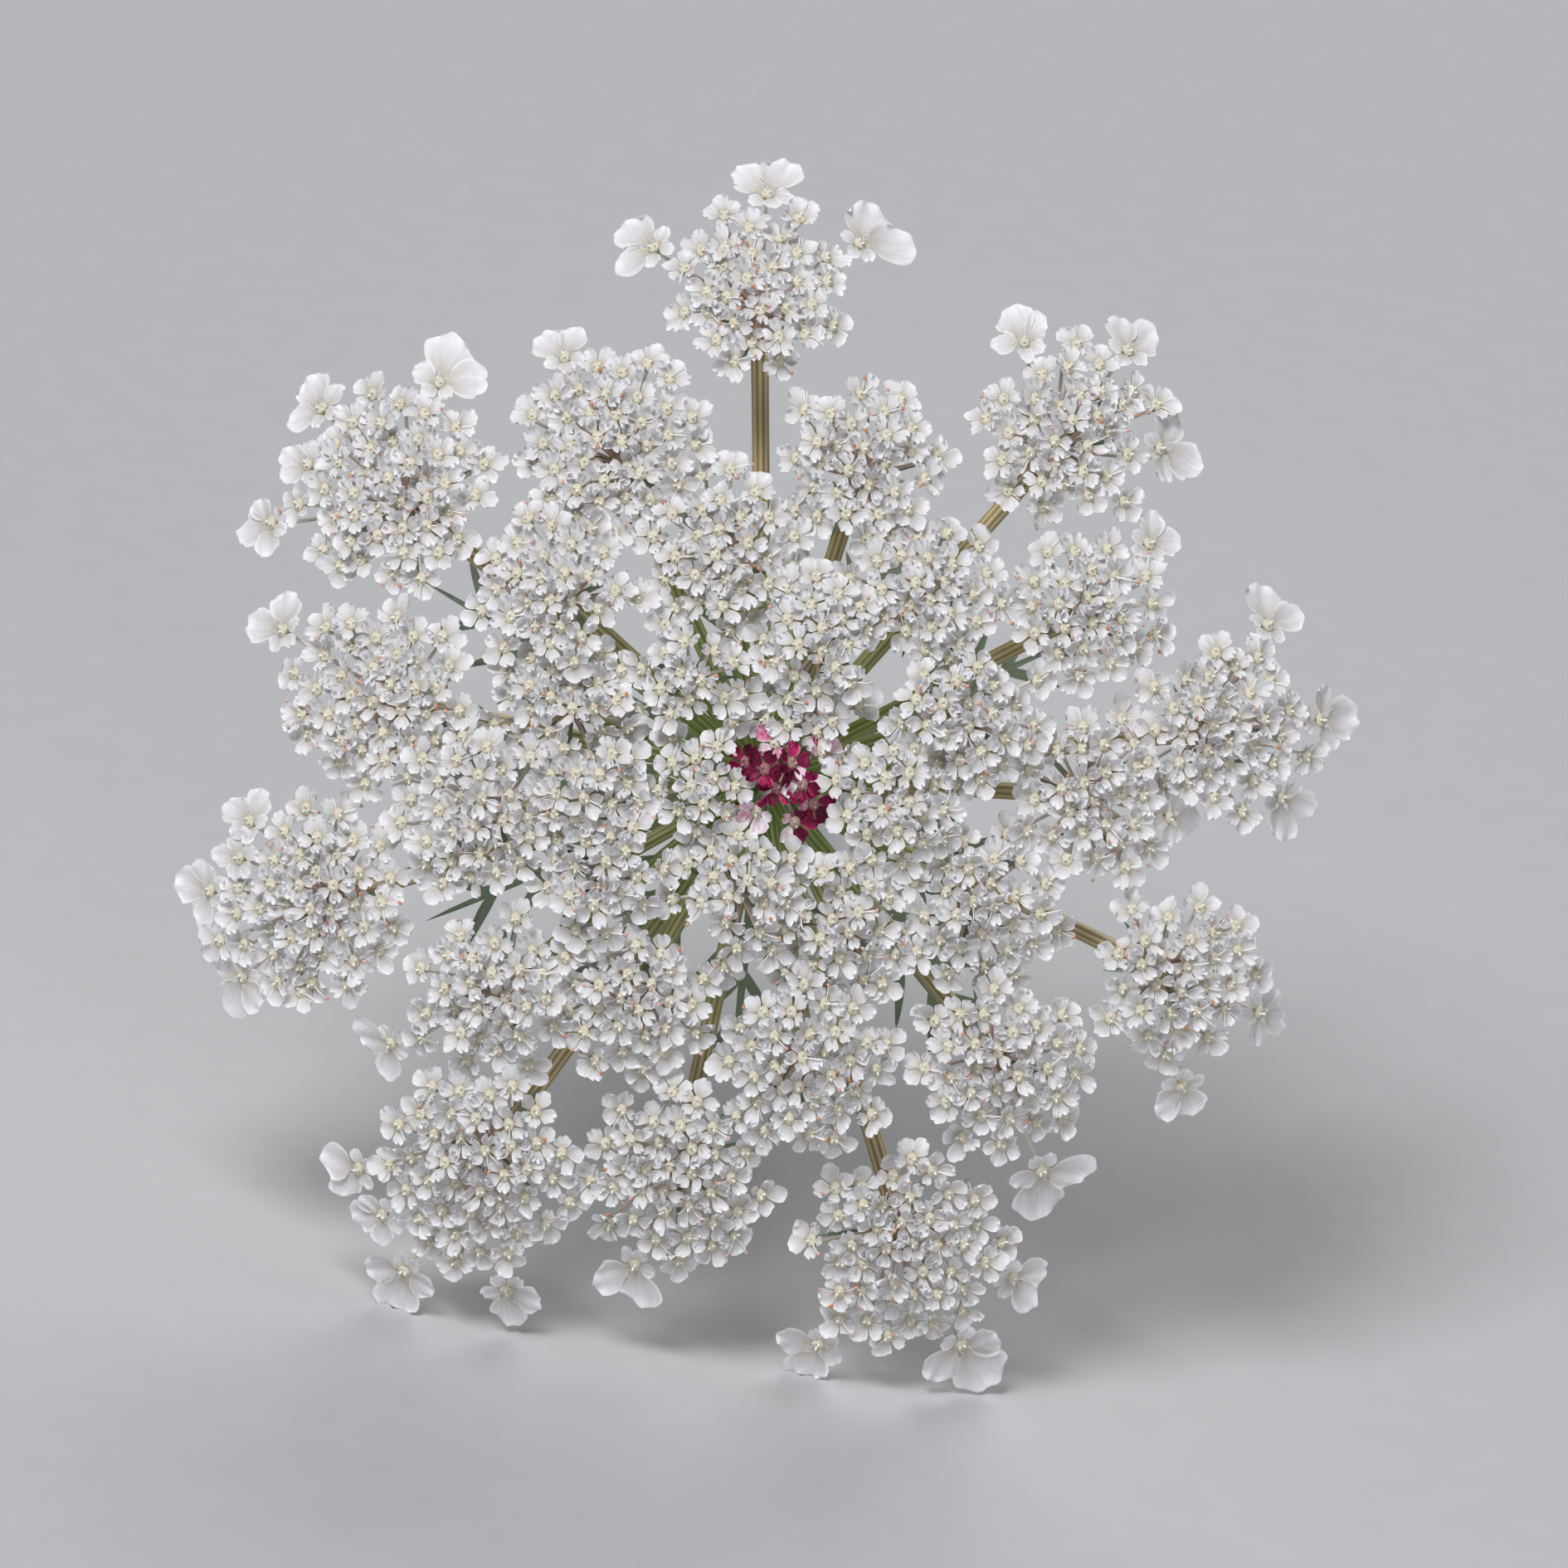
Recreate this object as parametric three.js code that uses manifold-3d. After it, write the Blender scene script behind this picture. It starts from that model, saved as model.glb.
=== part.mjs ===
// Wild carrot in flower (Daucus carota, "Queen Anne's lace"): one umbel, cut and laid down.
//
// Millimetres, +Z up, the face of the umbel towards -Y. The flower is first made as it
// grew: the receptacle at the origin, the umbel's axis along +Z, x to the right and y up as
// one looks into its face. It is then rolled and leaned back until it lies on the outermost
// florets of two umbellets and on the cut end of its stem.
//
// The rays leave the receptacle in all directions and each carries an umbellet: a small hub,
// thin pedicels that fan out from it, and a floret on every pedicel.
import * as THREE from "three";
import { mergeVertices } from "three/addons/utils/BufferGeometryUtils.js";
import Module from "manifold-3d";

const wasm = await Module();
wasm.setup();

const radians = THREE.MathUtils.degToRad;

// ---- Posture -----------------------------------------------------------------------------
const LEAN = radians(24.4); // the face looks up by this much
const ROLL = radians(9.4); // turn about the umbel's axis, seen from its face
const SEAT_GAP = 0.3; // between pieces that grow on each other

// ---- Dome of florets: how high the florets stand above the receptacle ---------------------
const DOME_TOP = 21;
const DOME_DROP = 6.5; // lower at the distance of the outermost umbellets' centres
const DOME_REACH = 37; // that distance
const UMBELLET_BULGE = 1.3; // each umbellet's own dome, centre to edge
const STAGGERS = [0, 1.5, 0.75]; // neighbouring umbellets stand at different heights

// ---- Florets, larger than life and so fewer: a grown one is about 3 mm across --------------
const FLORET_SPACING = 3.7;
const PETAL_LENGTH = 1.97; // from the floret's middle
const PETAL_END = 0.31; // half the width of a petal's end, in radians round the floret
const NOTCH_SHARE = 0.65; // depth between two petals, as a share of the petal's length
const DISC_HEIGHT = 0.5; // middle of the floret above its petals' tips
const CUP_DEPTH = 0.75; // top of the ovary below the petals' tips
const OVARY_RADIUS = 0.48;
const PEDICEL_RADIUS = 0.27;
const FLORET_GAP = 0.35; // between florets of two umbellets
const STACK_CLEARANCE = 1.4; // florets this far apart in height pass over each other
const GOLDEN_ANGLE = Math.PI * (3 - Math.sqrt(5));
const SPIRAL_PITCH = 0.525; // of a seed spiral, as a share of the spacing that it gives
const FLORET_INSET = 0.43; // outermost florets inside the umbellet's edge, in spacings

// ---- Stalks ------------------------------------------------------------------------------
const HUB_RADIUS = 1.05;
const HUB_DEPTH_SHARE = 0.45; // hub below the florets, as a share of the umbellet's radius
const HUB_DEPTH_LEAST = 1.6;
const RAY_RADIUS = 0.65;
const RAY_SIDES = 4;
const RAY_SAG = 0.7; // of the ray's control point, below a straight line
const RECEPTACLE_RADIUS = 2.9;
const RECEPTACLE_HEIGHT = 4.0;
const STEM_LENGTH = 116;
const STEM_TOP_RADIUS = 1.45;
const STEM_END_RADIUS = 1.8;
const STEM_RIDGES = 8;
const STEM_RIDGE_HEIGHT = 0.14;
const STEM_BEND = new THREE.Vector2(4, 14); // sideways drift of its cut end

// ---- Bracts ------------------------------------------------------------------------------
const BRACT_START = 2.8; // from the umbel's axis
const BRACT_THICKNESS = 0.6;
const BRACT_RIB_WIDTH = 0.9;
const BRACT_LEVEL = -1.8; // underside at the receptacle
const BRACT_LOBES = [0.42, 0.6, 0.77]; // roots of the pairs of lobes along the rib
const BRACT_LOBE_ANGLE = radians(33);
const BRACT_LOBE_ROOT = 1.3;
// Direction round the axis in degrees, length, and fall of the tip.
const BRACTS = [
  [24, 23, 3.0],
  [60, 20, 5.5],
  [104, 22, 2.6],
  [150, 28, 5.5],
  [176, 25, 2.6],
  [203, 26, 5.8],
  [232, 20, 2.8],
  [264, 21, 5.5],
  [308, 24, 2.6],
  [336, 20, 5.2],
];

// Umbellets in the face of the umbel: [x, y, radius].
const UMBELLETS = [
  [-0.3, 36.7, 6.9],
  [23.1, 26.1, 7.0],
  [24.4, 12.6, 6.1],
  [34.7, 3.6, 6.9],
  [25.3, -1.4, 6.5],
  [31.3, -15.2, 6.6],
  [18.1, -21.8, 6.9],
  [10.9, -35.8, 7.8],
  [-6.6, -30.2, 7.2],
  [-21.6, -29.6, 7.8],
  [-34.4, -9.6, 7.7],
  [-29.1, 6.1, 7.3],
  [-28.1, 21.7, 7.8],
  [-11.3, 24.8, 7.5],
  [7.5, 23.6, 6.4],
  [-15.3, 13.9, 6.4],
  [-2.8, 16.7, 6.5],
  [12.2, 13.6, 5.9],
  [15.3, 4.8, 5.7],
  [16.3, -9.9, 6.3],
  [10.3, -1.8, 5.0],
  [3.4, -21.4, 6.8],
  [-9.7, -16.4, 6.3],
  [-20.3, -16.4, 6.5],
  [-20.9, -3.0, 6.8],
  [5.9, -11.8, 5.5],
  [-1.9, -8.9, 5.0],
  [-12.2, -6.8, 5.0],
  [-15.0, 5.4, 5.5],
  [-5.6, 7.6, 4.5],
  [4.4, 10.1, 4.9],
  [3.8, 4.2, 3.4],
  [-4.7, -0.8, 3.6],
  [-12.8, -0.5, 4.0],
];
const CRIMSON_UMBELLET = [1.3, -0.2, 3.9];
const CRIMSON_SPACING = 2.7;
const CRIMSON_SINK = 1.0; // it stands a little lower than its neighbours

// Showy florets round the edge: [x, y, longest petal, direction of that petal in degrees].
// Each grows on the umbellet nearest to it, with its long petals outward.
const RIM_FLORETS = [
  [0.3, 44.1, 3.4, 69],
  [-8.3, 40.0, 3.2, 140],
  [7.3, 40.3, 3.6, 5],
  [19.7, 32.9, 2.8, 117],
  [27.6, 32.3, 2.8, 22],
  [30.0, 24.8, 3.4, -18],
  [29.1, 17.6, 2.6, 5],
  [38.1, 11.5, 3.1, 92],
  [42.1, 4.3, 3.1, 3],
  [39.1, -1.6, 2.9, -90],
  [30.6, -3.0, 2.3, -10],
  [37.5, -17.8, 2.6, -14],
  [31.6, -23.4, 2.6, -127],
  [21.0, -29.7, 3.8, -84],
  [18.9, -38.0, 2.7, 25],
  [15.0, -43.0, 4.1, -53],
  [4.1, -43.0, 3.1, -118],
  [-9.7, -36.8, 3.3, -90],
  [-30.6, -29.6, 2.7, 160],
  [-28.8, -33.1, 2.4, -164],
  [-27.2, -37.4, 3.6, 169],
  [-19.4, -38.8, 3.0, -92],
  [-41.9, -8.6, 2.7, 170],
  [-39.4, -15.1, 2.9, -132],
  [-38.8, -3.3, 2.4, 70],
  [-39.6, -6.1, 2.1, 169],
  [-36.3, 11.1, 2.9, 168],
  [-33.4, 27.9, 2.8, 125],
  [-24.4, 29.8, 3.7, 8],
  [-34.4, 23.6, 2.3, 149],
  [-37.2, 19.2, 2.7, -167],
  [-15.0, 31.7, 2.6, 141],
  [-28.1, -20.1, 2.8, -110],
];

// ---- Colours -----------------------------------------------------------------------------
const PETAL_WHITE = new THREE.MeshStandardMaterial({ color: 0xe6e9ee, roughness: 0.6 });
const CRIMSON = new THREE.MeshStandardMaterial({ color: 0x7a0b35, roughness: 0.55 });
const RAY_STRAW = new THREE.MeshStandardMaterial({ color: 0x8f8a55, roughness: 0.65 });
const STEM_GREEN = new THREE.MeshStandardMaterial({ color: 0x75844a, roughness: 0.7 });
const BRACT_GREEN = new THREE.MeshStandardMaterial({ color: 0x56685a, roughness: 0.7 });

// ---- Solids ------------------------------------------------------------------------------

/** The closed solid inside a geometry, ready to be joined to others. */
function solid(geometry) {
  const bare = geometry.clone();
  bare.deleteAttribute("normal");
  bare.deleteAttribute("uv");
  const merged = mergeVertices(bare, 1e-4);
  const vertProperties = new Float32Array(merged.attributes.position.array);
  const triVerts = new Uint32Array(merged.index.array);
  return new wasm.Manifold(new wasm.Mesh({ numProp: 3, vertProperties, triVerts }));
}

/** One mesh of all the solids fused together. */
function fusedMesh(name, solids, material) {
  const { vertProperties, triVerts } = solids.reduce((whole, next) => whole.add(next)).getMesh();
  const geometry = new THREE.BufferGeometry();
  geometry.setAttribute("position", new THREE.BufferAttribute(vertProperties, 3));
  geometry.setIndex(new THREE.BufferAttribute(triVerts, 1));
  geometry.computeVertexNormals();
  const mesh = new THREE.Mesh(geometry, material);
  mesh.name = name;
  return mesh;
}

/** A piece's name with its number in two figures. */
function numbered(name, index) {
  return `${name}_${String(index + 1).padStart(2, "0")}`;
}

// ---- Where the florets stand ---------------------------------------------------------------

/** Height of the umbel's domed face over the receptacle. */
function domeHeight(x, y) {
  return DOME_TOP - DOME_DROP * ((x * x + y * y) / DOME_REACH ** 2);
}

/** A floret's height: the umbel's dome, less the fall of its own umbellet's dome. */
function floretHeight({ x, y, umbellet }) {
  const outward = Math.hypot(x - umbellet.x, y - umbellet.y) / umbellet.radius;
  return domeHeight(x, y) - UMBELLET_BULGE * outward ** 2 - umbellet.sink;
}

/** The way a floret faces: square to both domes at its place. */
function floretNormal({ x, y, umbellet }) {
  const umbelSlope = (2 * DOME_DROP) / DOME_REACH ** 2;
  const umbelletSlope = (2 * UMBELLET_BULGE) / umbellet.radius ** 2;
  return new THREE.Vector3(
    umbelSlope * x + umbelletSlope * (x - umbellet.x),
    umbelSlope * y + umbelletSlope * (y - umbellet.y),
    1,
  ).normalize();
}

/** Florets of one umbellet in a seed spiral, as far out as they fit with whole petals. */
function spiralFlorets(umbellet, index, spacing = FLORET_SPACING) {
  const pitch = SPIRAL_PITCH * spacing;
  const reach = umbellet.radius - FLORET_INSET * spacing;
  const count = Math.max(3, Math.floor((reach / pitch) ** 2 + 0.5));
  return Array.from({ length: count }, (_, k) => {
    const distance = pitch * Math.sqrt(k + 0.5);
    const angle = GOLDEN_ANGLE * k + index;
    return {
      umbellet,
      x: umbellet.x + distance * Math.cos(angle),
      y: umbellet.y + distance * Math.sin(angle),
      room: spacing / 2,
    };
  });
}

/** A showy floret: its room is centred between its long outer and short inner petals. */
function rimFloret([x, y, longest, facing], umbellets) {
  const away = (umbellet) => Math.hypot(x - umbellet.x, y - umbellet.y) - umbellet.radius;
  const umbellet = umbellets.reduce((best, next) => (away(next) < away(best) ? next : best));
  const outward = Math.atan2(y - umbellet.y, x - umbellet.x);
  const shift = (longest - PETAL_LENGTH) / 2;
  return {
    umbellet,
    x: x + shift * Math.cos(outward),
    y: y + shift * Math.sin(outward),
    room: (longest + PETAL_LENGTH) / 2,
    showy: { x, y, longest, outward, facing: radians(facing) },
  };
}

/** How far a point lies inside an umbellet's share of the face; the least value owns it. */
function cellDistance(point, umbellet) {
  return (point.x - umbellet.x) ** 2 + (point.y - umbellet.y) ** 2 - umbellet.radius ** 2;
}

/** Florets that stand too close push each other apart; the showy ones stay put. */
function settle(florets) {
  const rounds = 30;
  for (let round = 0; round < rounds; round += 1) {
    florets.forEach((a, i) => {
      florets.slice(i + 1).forEach((b) => {
        const apart = Math.hypot(b.x - a.x, b.y - a.y);
        const missing = a.room + b.room - apart;
        if (missing <= 0) return;
        const push = (0.5 * missing) / apart;
        const [dx, dy] = [(b.x - a.x) * push, (b.y - a.y) * push];
        if (!a.showy) {
          a.x -= dx;
          a.y -= dy;
        }
        if (!b.showy) {
          b.x += dx;
          b.y += dy;
        }
      });
    });
  }
}

/** Petal length that keeps a floret clear of other umbellets' florets at its own height. */
function clearPetal(floret, florets) {
  const level = floretHeight(floret);
  const limits = florets
    .filter((other) => other.umbellet !== floret.umbellet)
    .filter((other) => Math.abs(floretHeight(other) - level) < STACK_CLEARANCE)
    .map((other) => {
      const apart = Math.hypot(other.x - floret.x, other.y - floret.y);
      return (apart - FLORET_GAP) * (floret.room / (floret.room + other.room));
    });
  return Math.min(PETAL_LENGTH * (floret.room / (FLORET_SPACING / 2)), ...limits);
}

// ---- Florets and umbellets -----------------------------------------------------------------

/** Points round five petals, two at each petal's end and one between petals. */
function petalOutline(facing, petalLength, notch) {
  return Array.from({ length: 5 }, (_, petal) => {
    const angle = facing + (petal * 2 * Math.PI) / 5;
    const length = petalLength(angle);
    return [
      [length, angle - PETAL_END],
      [length, angle + PETAL_END],
      [notch, angle + Math.PI / 5],
    ];
  }).flat();
}

/** Outline of a floret: even petals, or for a showy one petals that lengthen outward. */
function floretOutline(floret, facing, florets) {
  if (!floret.showy) {
    const petal = clearPetal(floret, florets);
    return petalOutline(facing, () => petal, petal * NOTCH_SHARE);
  }
  const { longest, outward } = floret.showy;
  const short = PETAL_LENGTH * 0.85;
  const length = (angle) =>
    short + (longest - short) * Math.max(0, Math.cos(angle - outward)) ** 0.7;
  return petalOutline(floret.showy.facing, length, PETAL_LENGTH * NOTCH_SHARE);
}

/** A floret on its pedicel: petals, ovary and a three-sided stalk down to a foot in the hub. */
function floretSolid(place, normal, outline, hub) {
  const turn = new THREE.Quaternion().setFromUnitVectors(new THREE.Vector3(0, 0, 1), normal);
  const at = (distance, angle, height) =>
    new THREE.Vector3(distance * Math.cos(angle), distance * Math.sin(angle), height)
      .applyQuaternion(turn);
  const corners = [0, 1, 2].map((k) => outline[0][1] + (k * 2 * Math.PI) / 3);
  const rim = outline.map(([distance, angle]) => at(distance, angle, 0).add(place));
  const ovary = corners.map((angle) => at(OVARY_RADIUS, angle, -CUP_DEPTH).add(place));
  const foot = corners.map((angle) => at(PEDICEL_RADIUS, angle, 0).add(hub));
  const vertices = [at(0, 0, DISC_HEIGHT).add(place), ...rim, ...ovary, ...foot];
  const n = outline.length;
  const rimAt = (k) => 1 + (k % n);
  const ovaryAt = (k) => 1 + n + (Math.round((k * 3) / n) % 3);
  const faces = [];
  for (let k = 0; k < n; k += 1) {
    faces.push([0, rimAt(k), rimAt(k + 1)], [rimAt(k + 1), rimAt(k), ovaryAt(k)]);
    if (ovaryAt(k) !== ovaryAt(k + 1)) faces.push([rimAt(k + 1), ovaryAt(k), ovaryAt(k + 1)]);
  }
  for (let j = 0; j < 3; j += 1) {
    const [a, b] = [1 + n + j, 1 + n + ((j + 1) % 3)];
    faces.push([a, a + 3, b], [b, a + 3, b + 3]);
  }
  faces.push([n + 4, n + 6, n + 5]);
  const geometry = new THREE.BufferGeometry().setFromPoints(vertices);
  geometry.setIndex(faces.flat());
  return solid(geometry);
}

/** The hub sits under the umbellet's middle, where its pedicels come together. */
function hubPlace(umbellet) {
  const depth = HUB_DEPTH_LEAST + HUB_DEPTH_SHARE * umbellet.radius;
  const slope = (2 * DOME_DROP) / DOME_REACH ** 2;
  return new THREE.Vector3(
    umbellet.x * (1 - slope * depth),
    umbellet.y * (1 - slope * depth),
    domeHeight(umbellet.x, umbellet.y) - umbellet.sink - depth,
  );
}

/** One umbellet: hub, pedicels and florets fused. */
function umbelletMesh(name, umbellet, florets, material) {
  const hub = hubPlace(umbellet);
  const hubBall = new THREE.IcosahedronGeometry(HUB_RADIUS, 0).translate(hub.x, hub.y, hub.z);
  const solids = florets
    .filter((floret) => floret.umbellet === umbellet)
    .map((floret, k) => {
      const { x, y } = floret.showy ?? floret;
      const place = new THREE.Vector3(x, y, floretHeight({ x, y, umbellet }));
      const outline = floretOutline(floret, k * GOLDEN_ANGLE, florets);
      return floretSolid(place, floretNormal(floret), outline, hub);
    });
  return fusedMesh(name, [solid(hubBall), ...solids], material);
}

// ---- Stalks and bracts ---------------------------------------------------------------------

/** The receptacle with every ray fused on; each ray stops just short of its hub. */
function raysMesh(umbellets) {
  const ball = new THREE.SphereGeometry(RECEPTACLE_RADIUS, 10, 6).rotateX(Math.PI / 2);
  ball.scale(1, 1, RECEPTACLE_HEIGHT / (2 * RECEPTACLE_RADIUS));
  const section = new THREE.Shape(
    Array.from({ length: RAY_SIDES }, (_, k) => {
      const angle = (k * 2 * Math.PI) / RAY_SIDES;
      return new THREE.Vector2(RAY_RADIUS * Math.cos(angle), RAY_RADIUS * Math.sin(angle));
    }),
  );
  const rays = umbellets.map((umbellet) => {
    const hub = hubPlace(umbellet);
    const along = hub.clone().normalize();
    const start = along.clone().multiplyScalar(RECEPTACLE_RADIUS * 0.35);
    const end = hub.clone().addScaledVector(along, -(HUB_RADIUS + SEAT_GAP));
    const middle = start.clone().lerp(end, 0.5);
    middle.z -= RAY_SAG;
    const extrudePath = new THREE.QuadraticBezierCurve3(start, middle, end);
    return solid(new THREE.ExtrudeGeometry(section, { steps: 2, extrudePath }));
  });
  return fusedMesh("rays", [solid(ball), ...rays], RAY_STRAW);
}

/** The stem: a tapered, ridged rod that drifts sideways with the square of its depth. */
function stemMesh() {
  const sides = 2 * STEM_RIDGES;
  const rod = new THREE.CylinderGeometry(STEM_TOP_RADIUS, STEM_END_RADIUS, STEM_LENGTH, sides, 8);
  rod.rotateX(Math.PI / 2).translate(0, 0, -STEM_LENGTH / 2);
  const position = rod.attributes.position;
  const top = RECEPTACLE_HEIGHT / 2 + SEAT_GAP;
  for (let i = 0; i < position.count; i += 1) {
    const point = new THREE.Vector3().fromBufferAttribute(position, i);
    const angle = Math.atan2(point.y, point.x);
    const radius = Math.hypot(point.x, point.y);
    const ridge = radius > 0.1 ? STEM_RIDGE_HEIGHT * Math.cos(STEM_RIDGES * angle) : 0;
    const drift = (point.z / STEM_LENGTH) ** 2;
    position.setXYZ(
      i,
      (radius + ridge) * Math.cos(angle) + STEM_BEND.x * drift,
      (radius + ridge) * Math.sin(angle) + STEM_BEND.y * drift,
      point.z - top,
    );
  }
  return fusedMesh("stem", [solid(rod)], STEM_GREEN);
}

/** Outline of a pinnate bract lying along +x: a rib with three pairs of narrow lobes. */
function bractOutline(length) {
  const half = BRACT_RIB_WIDTH / 2;
  const side = (sign) =>
    BRACT_LOBES.flatMap((share, k) => {
      const root = share * length;
      const reach = length * (0.26 - 0.055 * k);
      const tip = [reach * Math.cos(BRACT_LOBE_ANGLE), reach * Math.sin(BRACT_LOBE_ANGLE)];
      return [
        new THREE.Vector2(root, sign * half),
        new THREE.Vector2(root + tip[0], sign * (half + tip[1])),
        new THREE.Vector2(root + BRACT_LOBE_ROOT, sign * half),
      ];
    });
  return new THREE.Shape([
    new THREE.Vector2(0, -half),
    ...side(-1),
    new THREE.Vector2(length, 0),
    ...side(1).reverse(),
    new THREE.Vector2(0, half),
  ]);
}

/** One bract: its outline as a thin blade that first holds level, then arches down. */
function bractMesh([direction, length, fall], index) {
  const blade = { depth: BRACT_THICKNESS, bevelEnabled: false };
  const geometry = new THREE.ExtrudeGeometry(bractOutline(length), blade);
  const position = geometry.attributes.position;
  for (let i = 0; i < position.count; i += 1) {
    const share = position.getX(i) / length;
    position.setZ(i, position.getZ(i) - fall * share * share);
  }
  geometry.translate(BRACT_START, 0, BRACT_LEVEL);
  geometry.rotateZ(radians(direction));
  return fusedMesh(numbered("bract", index), [solid(geometry)], BRACT_GREEN);
}

// ---- The whole flower ------------------------------------------------------------------------

const white = UMBELLETS.map(([x, y, radius], index) => {
  return { x, y, radius, sink: STAGGERS[index % STAGGERS.length] };
});
const [crimsonX, crimsonY, crimsonRadius] = CRIMSON_UMBELLET;
const crimson = { x: crimsonX, y: crimsonY, radius: crimsonRadius, sink: CRIMSON_SINK };
const umbellets = [...white, crimson];

const scattered = [
  ...RIM_FLORETS.map((row) => rimFloret(row, white)),
  ...white.flatMap((umbellet, index) => spiralFlorets(umbellet, index)),
  ...spiralFlorets(crimson, white.length, CRIMSON_SPACING),
];
settle(scattered);
const florets = scattered.filter((floret) => {
  const mine = cellDistance(floret, floret.umbellet);
  return floret.showy || umbellets.every((other) => cellDistance(floret, other) >= mine);
});

const flower = new THREE.Group();
flower.add(stemMesh(), raysMesh(umbellets), ...BRACTS.map(bractMesh));
white.forEach((umbellet, index) => {
  flower.add(umbelletMesh(numbered("umbellet", index), umbellet, florets, PETAL_WHITE));
});
flower.add(umbelletMesh("crimson_umbellet", crimson, florets, CRIMSON));
flower.rotation.set(Math.PI / 2 - LEAN, 0, ROLL);

// The flower lies on z = 0, with the origin under the middle of its box.
const group = new THREE.Group();
group.add(flower);
const box = new THREE.Box3().setFromObject(group, true);
flower.position.set(-(box.min.x + box.max.x) / 2, -(box.min.y + box.max.y) / 2, -box.min.z);
group.updateMatrixWorld(true);

export default group;
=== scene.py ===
# Wild carrot in flower (Daucus carota, "Queen Anne's lace"): one umbel, cut and laid down.
#
# Every piece is worked out as it grew, in millimetres: the receptacle at the origin, the umbel's
# axis along +Z, x to the right and y up as one looks into its face. laid() then leans and rolls
# it on to the floor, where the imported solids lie, and turns millimetres to metres.
import math

import bpy
import mathutils
import numpy as np
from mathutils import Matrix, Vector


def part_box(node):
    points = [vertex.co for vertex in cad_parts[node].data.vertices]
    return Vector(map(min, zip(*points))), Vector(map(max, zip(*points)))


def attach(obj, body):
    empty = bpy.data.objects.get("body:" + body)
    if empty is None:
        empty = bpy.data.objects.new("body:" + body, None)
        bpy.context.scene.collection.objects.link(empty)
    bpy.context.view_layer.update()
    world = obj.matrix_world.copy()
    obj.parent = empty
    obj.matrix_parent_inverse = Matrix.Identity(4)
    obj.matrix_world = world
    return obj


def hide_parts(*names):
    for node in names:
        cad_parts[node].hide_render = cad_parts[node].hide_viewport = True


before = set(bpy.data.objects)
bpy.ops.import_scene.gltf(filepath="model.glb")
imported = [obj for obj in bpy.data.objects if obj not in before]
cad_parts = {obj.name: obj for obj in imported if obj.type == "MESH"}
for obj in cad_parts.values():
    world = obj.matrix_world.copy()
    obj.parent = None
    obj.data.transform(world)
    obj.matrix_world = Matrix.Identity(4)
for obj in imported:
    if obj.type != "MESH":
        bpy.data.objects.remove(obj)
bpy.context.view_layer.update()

# ---- Stem ----
# The flower stalk: a green, ridged rod with stiff downward bristles, solid with white pith. It
# was cut across at its lower end and grows up into the receptacle. The umbel lies on the cut
# end and on the outermost florets of two umbellets.
MM = 0.001  # in metres
LEAN = math.radians(24.4)  # the face looks up by this much
ROLL = math.radians(9.4)  # turn about the umbel's own axis
STEM_LENGTH = 116.0
STEM_TOP = -2.3  # height of its upper end, under the receptacle
STEM_RADII = (1.45, 1.8)  # at the upper and the cut end
STEM_BEND = (4.0, 14.0)  # sideways drift of the cut end
STEM_RIDGES = 8
RIDGE_HEIGHT = 0.14

leaned = np.array([
    [1, 0, 0],
    [0, math.sin(LEAN), -math.cos(LEAN)],
    [0, math.cos(LEAN), math.sin(LEAN)],
])
rolled = np.array([
    [math.cos(ROLL), -math.sin(ROLL), 0],
    [math.sin(ROLL), math.cos(ROLL), 0],
    [0, 0, 1],
])
TURN = leaned @ rolled


def stem_skin(depth, angle, ridge):
    """Points of the stem's skin. At each depth, 0 at the top and 1 at the cut, lies a circle whose
    radius grows evenly with the depth and is raised by ridge. Its centre drifts sideways with the
    square of the depth."""
    radius = STEM_RADII[0] + (STEM_RADII[1] - STEM_RADII[0]) * depth + ridge
    return np.stack([
        radius * np.cos(angle) + STEM_BEND[0] * depth**2,
        radius * np.sin(angle) + STEM_BEND[1] * depth**2,
        STEM_TOP - STEM_LENGTH * depth + 0 * angle,
    ], axis=-1)


# The solid stem has two corners to a ridge and eight steps. Its box gives the place of them all.
solid_depth, solid_angle = np.meshgrid(
    np.linspace(0, 1, 9), np.arange(2 * STEM_RIDGES) * math.pi / STEM_RIDGES, indexing="ij"
)
solid_ridge = RIDGE_HEIGHT * np.cos(STEM_RIDGES * solid_angle)
solid_stem = stem_skin(solid_depth, solid_angle, solid_ridge) @ TURN.T
SHIFT = np.array(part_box("stem")[0]) / MM - solid_stem.min(axis=(0, 1))
REST = 0.02  # what touches the floor is pressed up to this height


def laid(points):
    """Points of the growing flower, turned and moved to where it lies, in metres."""
    placed = points @ TURN.T + SHIFT
    placed[..., 2] = np.maximum(placed[..., 2], REST)
    return placed * MM


def unit(vectors):
    """Vectors of length 1 in the same directions."""
    return vectors / np.linalg.norm(vectors, axis=-1, keepdims=True)


def around(count):
    """Angles of count places evenly round a circle."""
    return np.arange(count) * 2 * math.pi / count


def ring_faces(steps, sides):
    """Faces of a closed skin over rings of points, with a point for the middle of the first and of
    the last ring after them all. Rows hold four corners, or three and -1."""
    here = np.arange(steps * sides).reshape(steps, sides)
    beside = np.roll(here, -1, axis=1)
    wall = np.stack([here[:-1], beside[:-1], beside[1:], here[1:]], axis=-1).reshape(-1, 4)
    first, last, none = (np.full(sides, index) for index in (here.size, here.size + 1, -1))
    first_lid = np.stack([first, beside[0], here[0], none], axis=-1)
    last_lid = np.stack([last, here[-1], beside[-1], none], axis=-1)
    return np.concatenate([wall, first_lid, last_lid])


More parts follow.
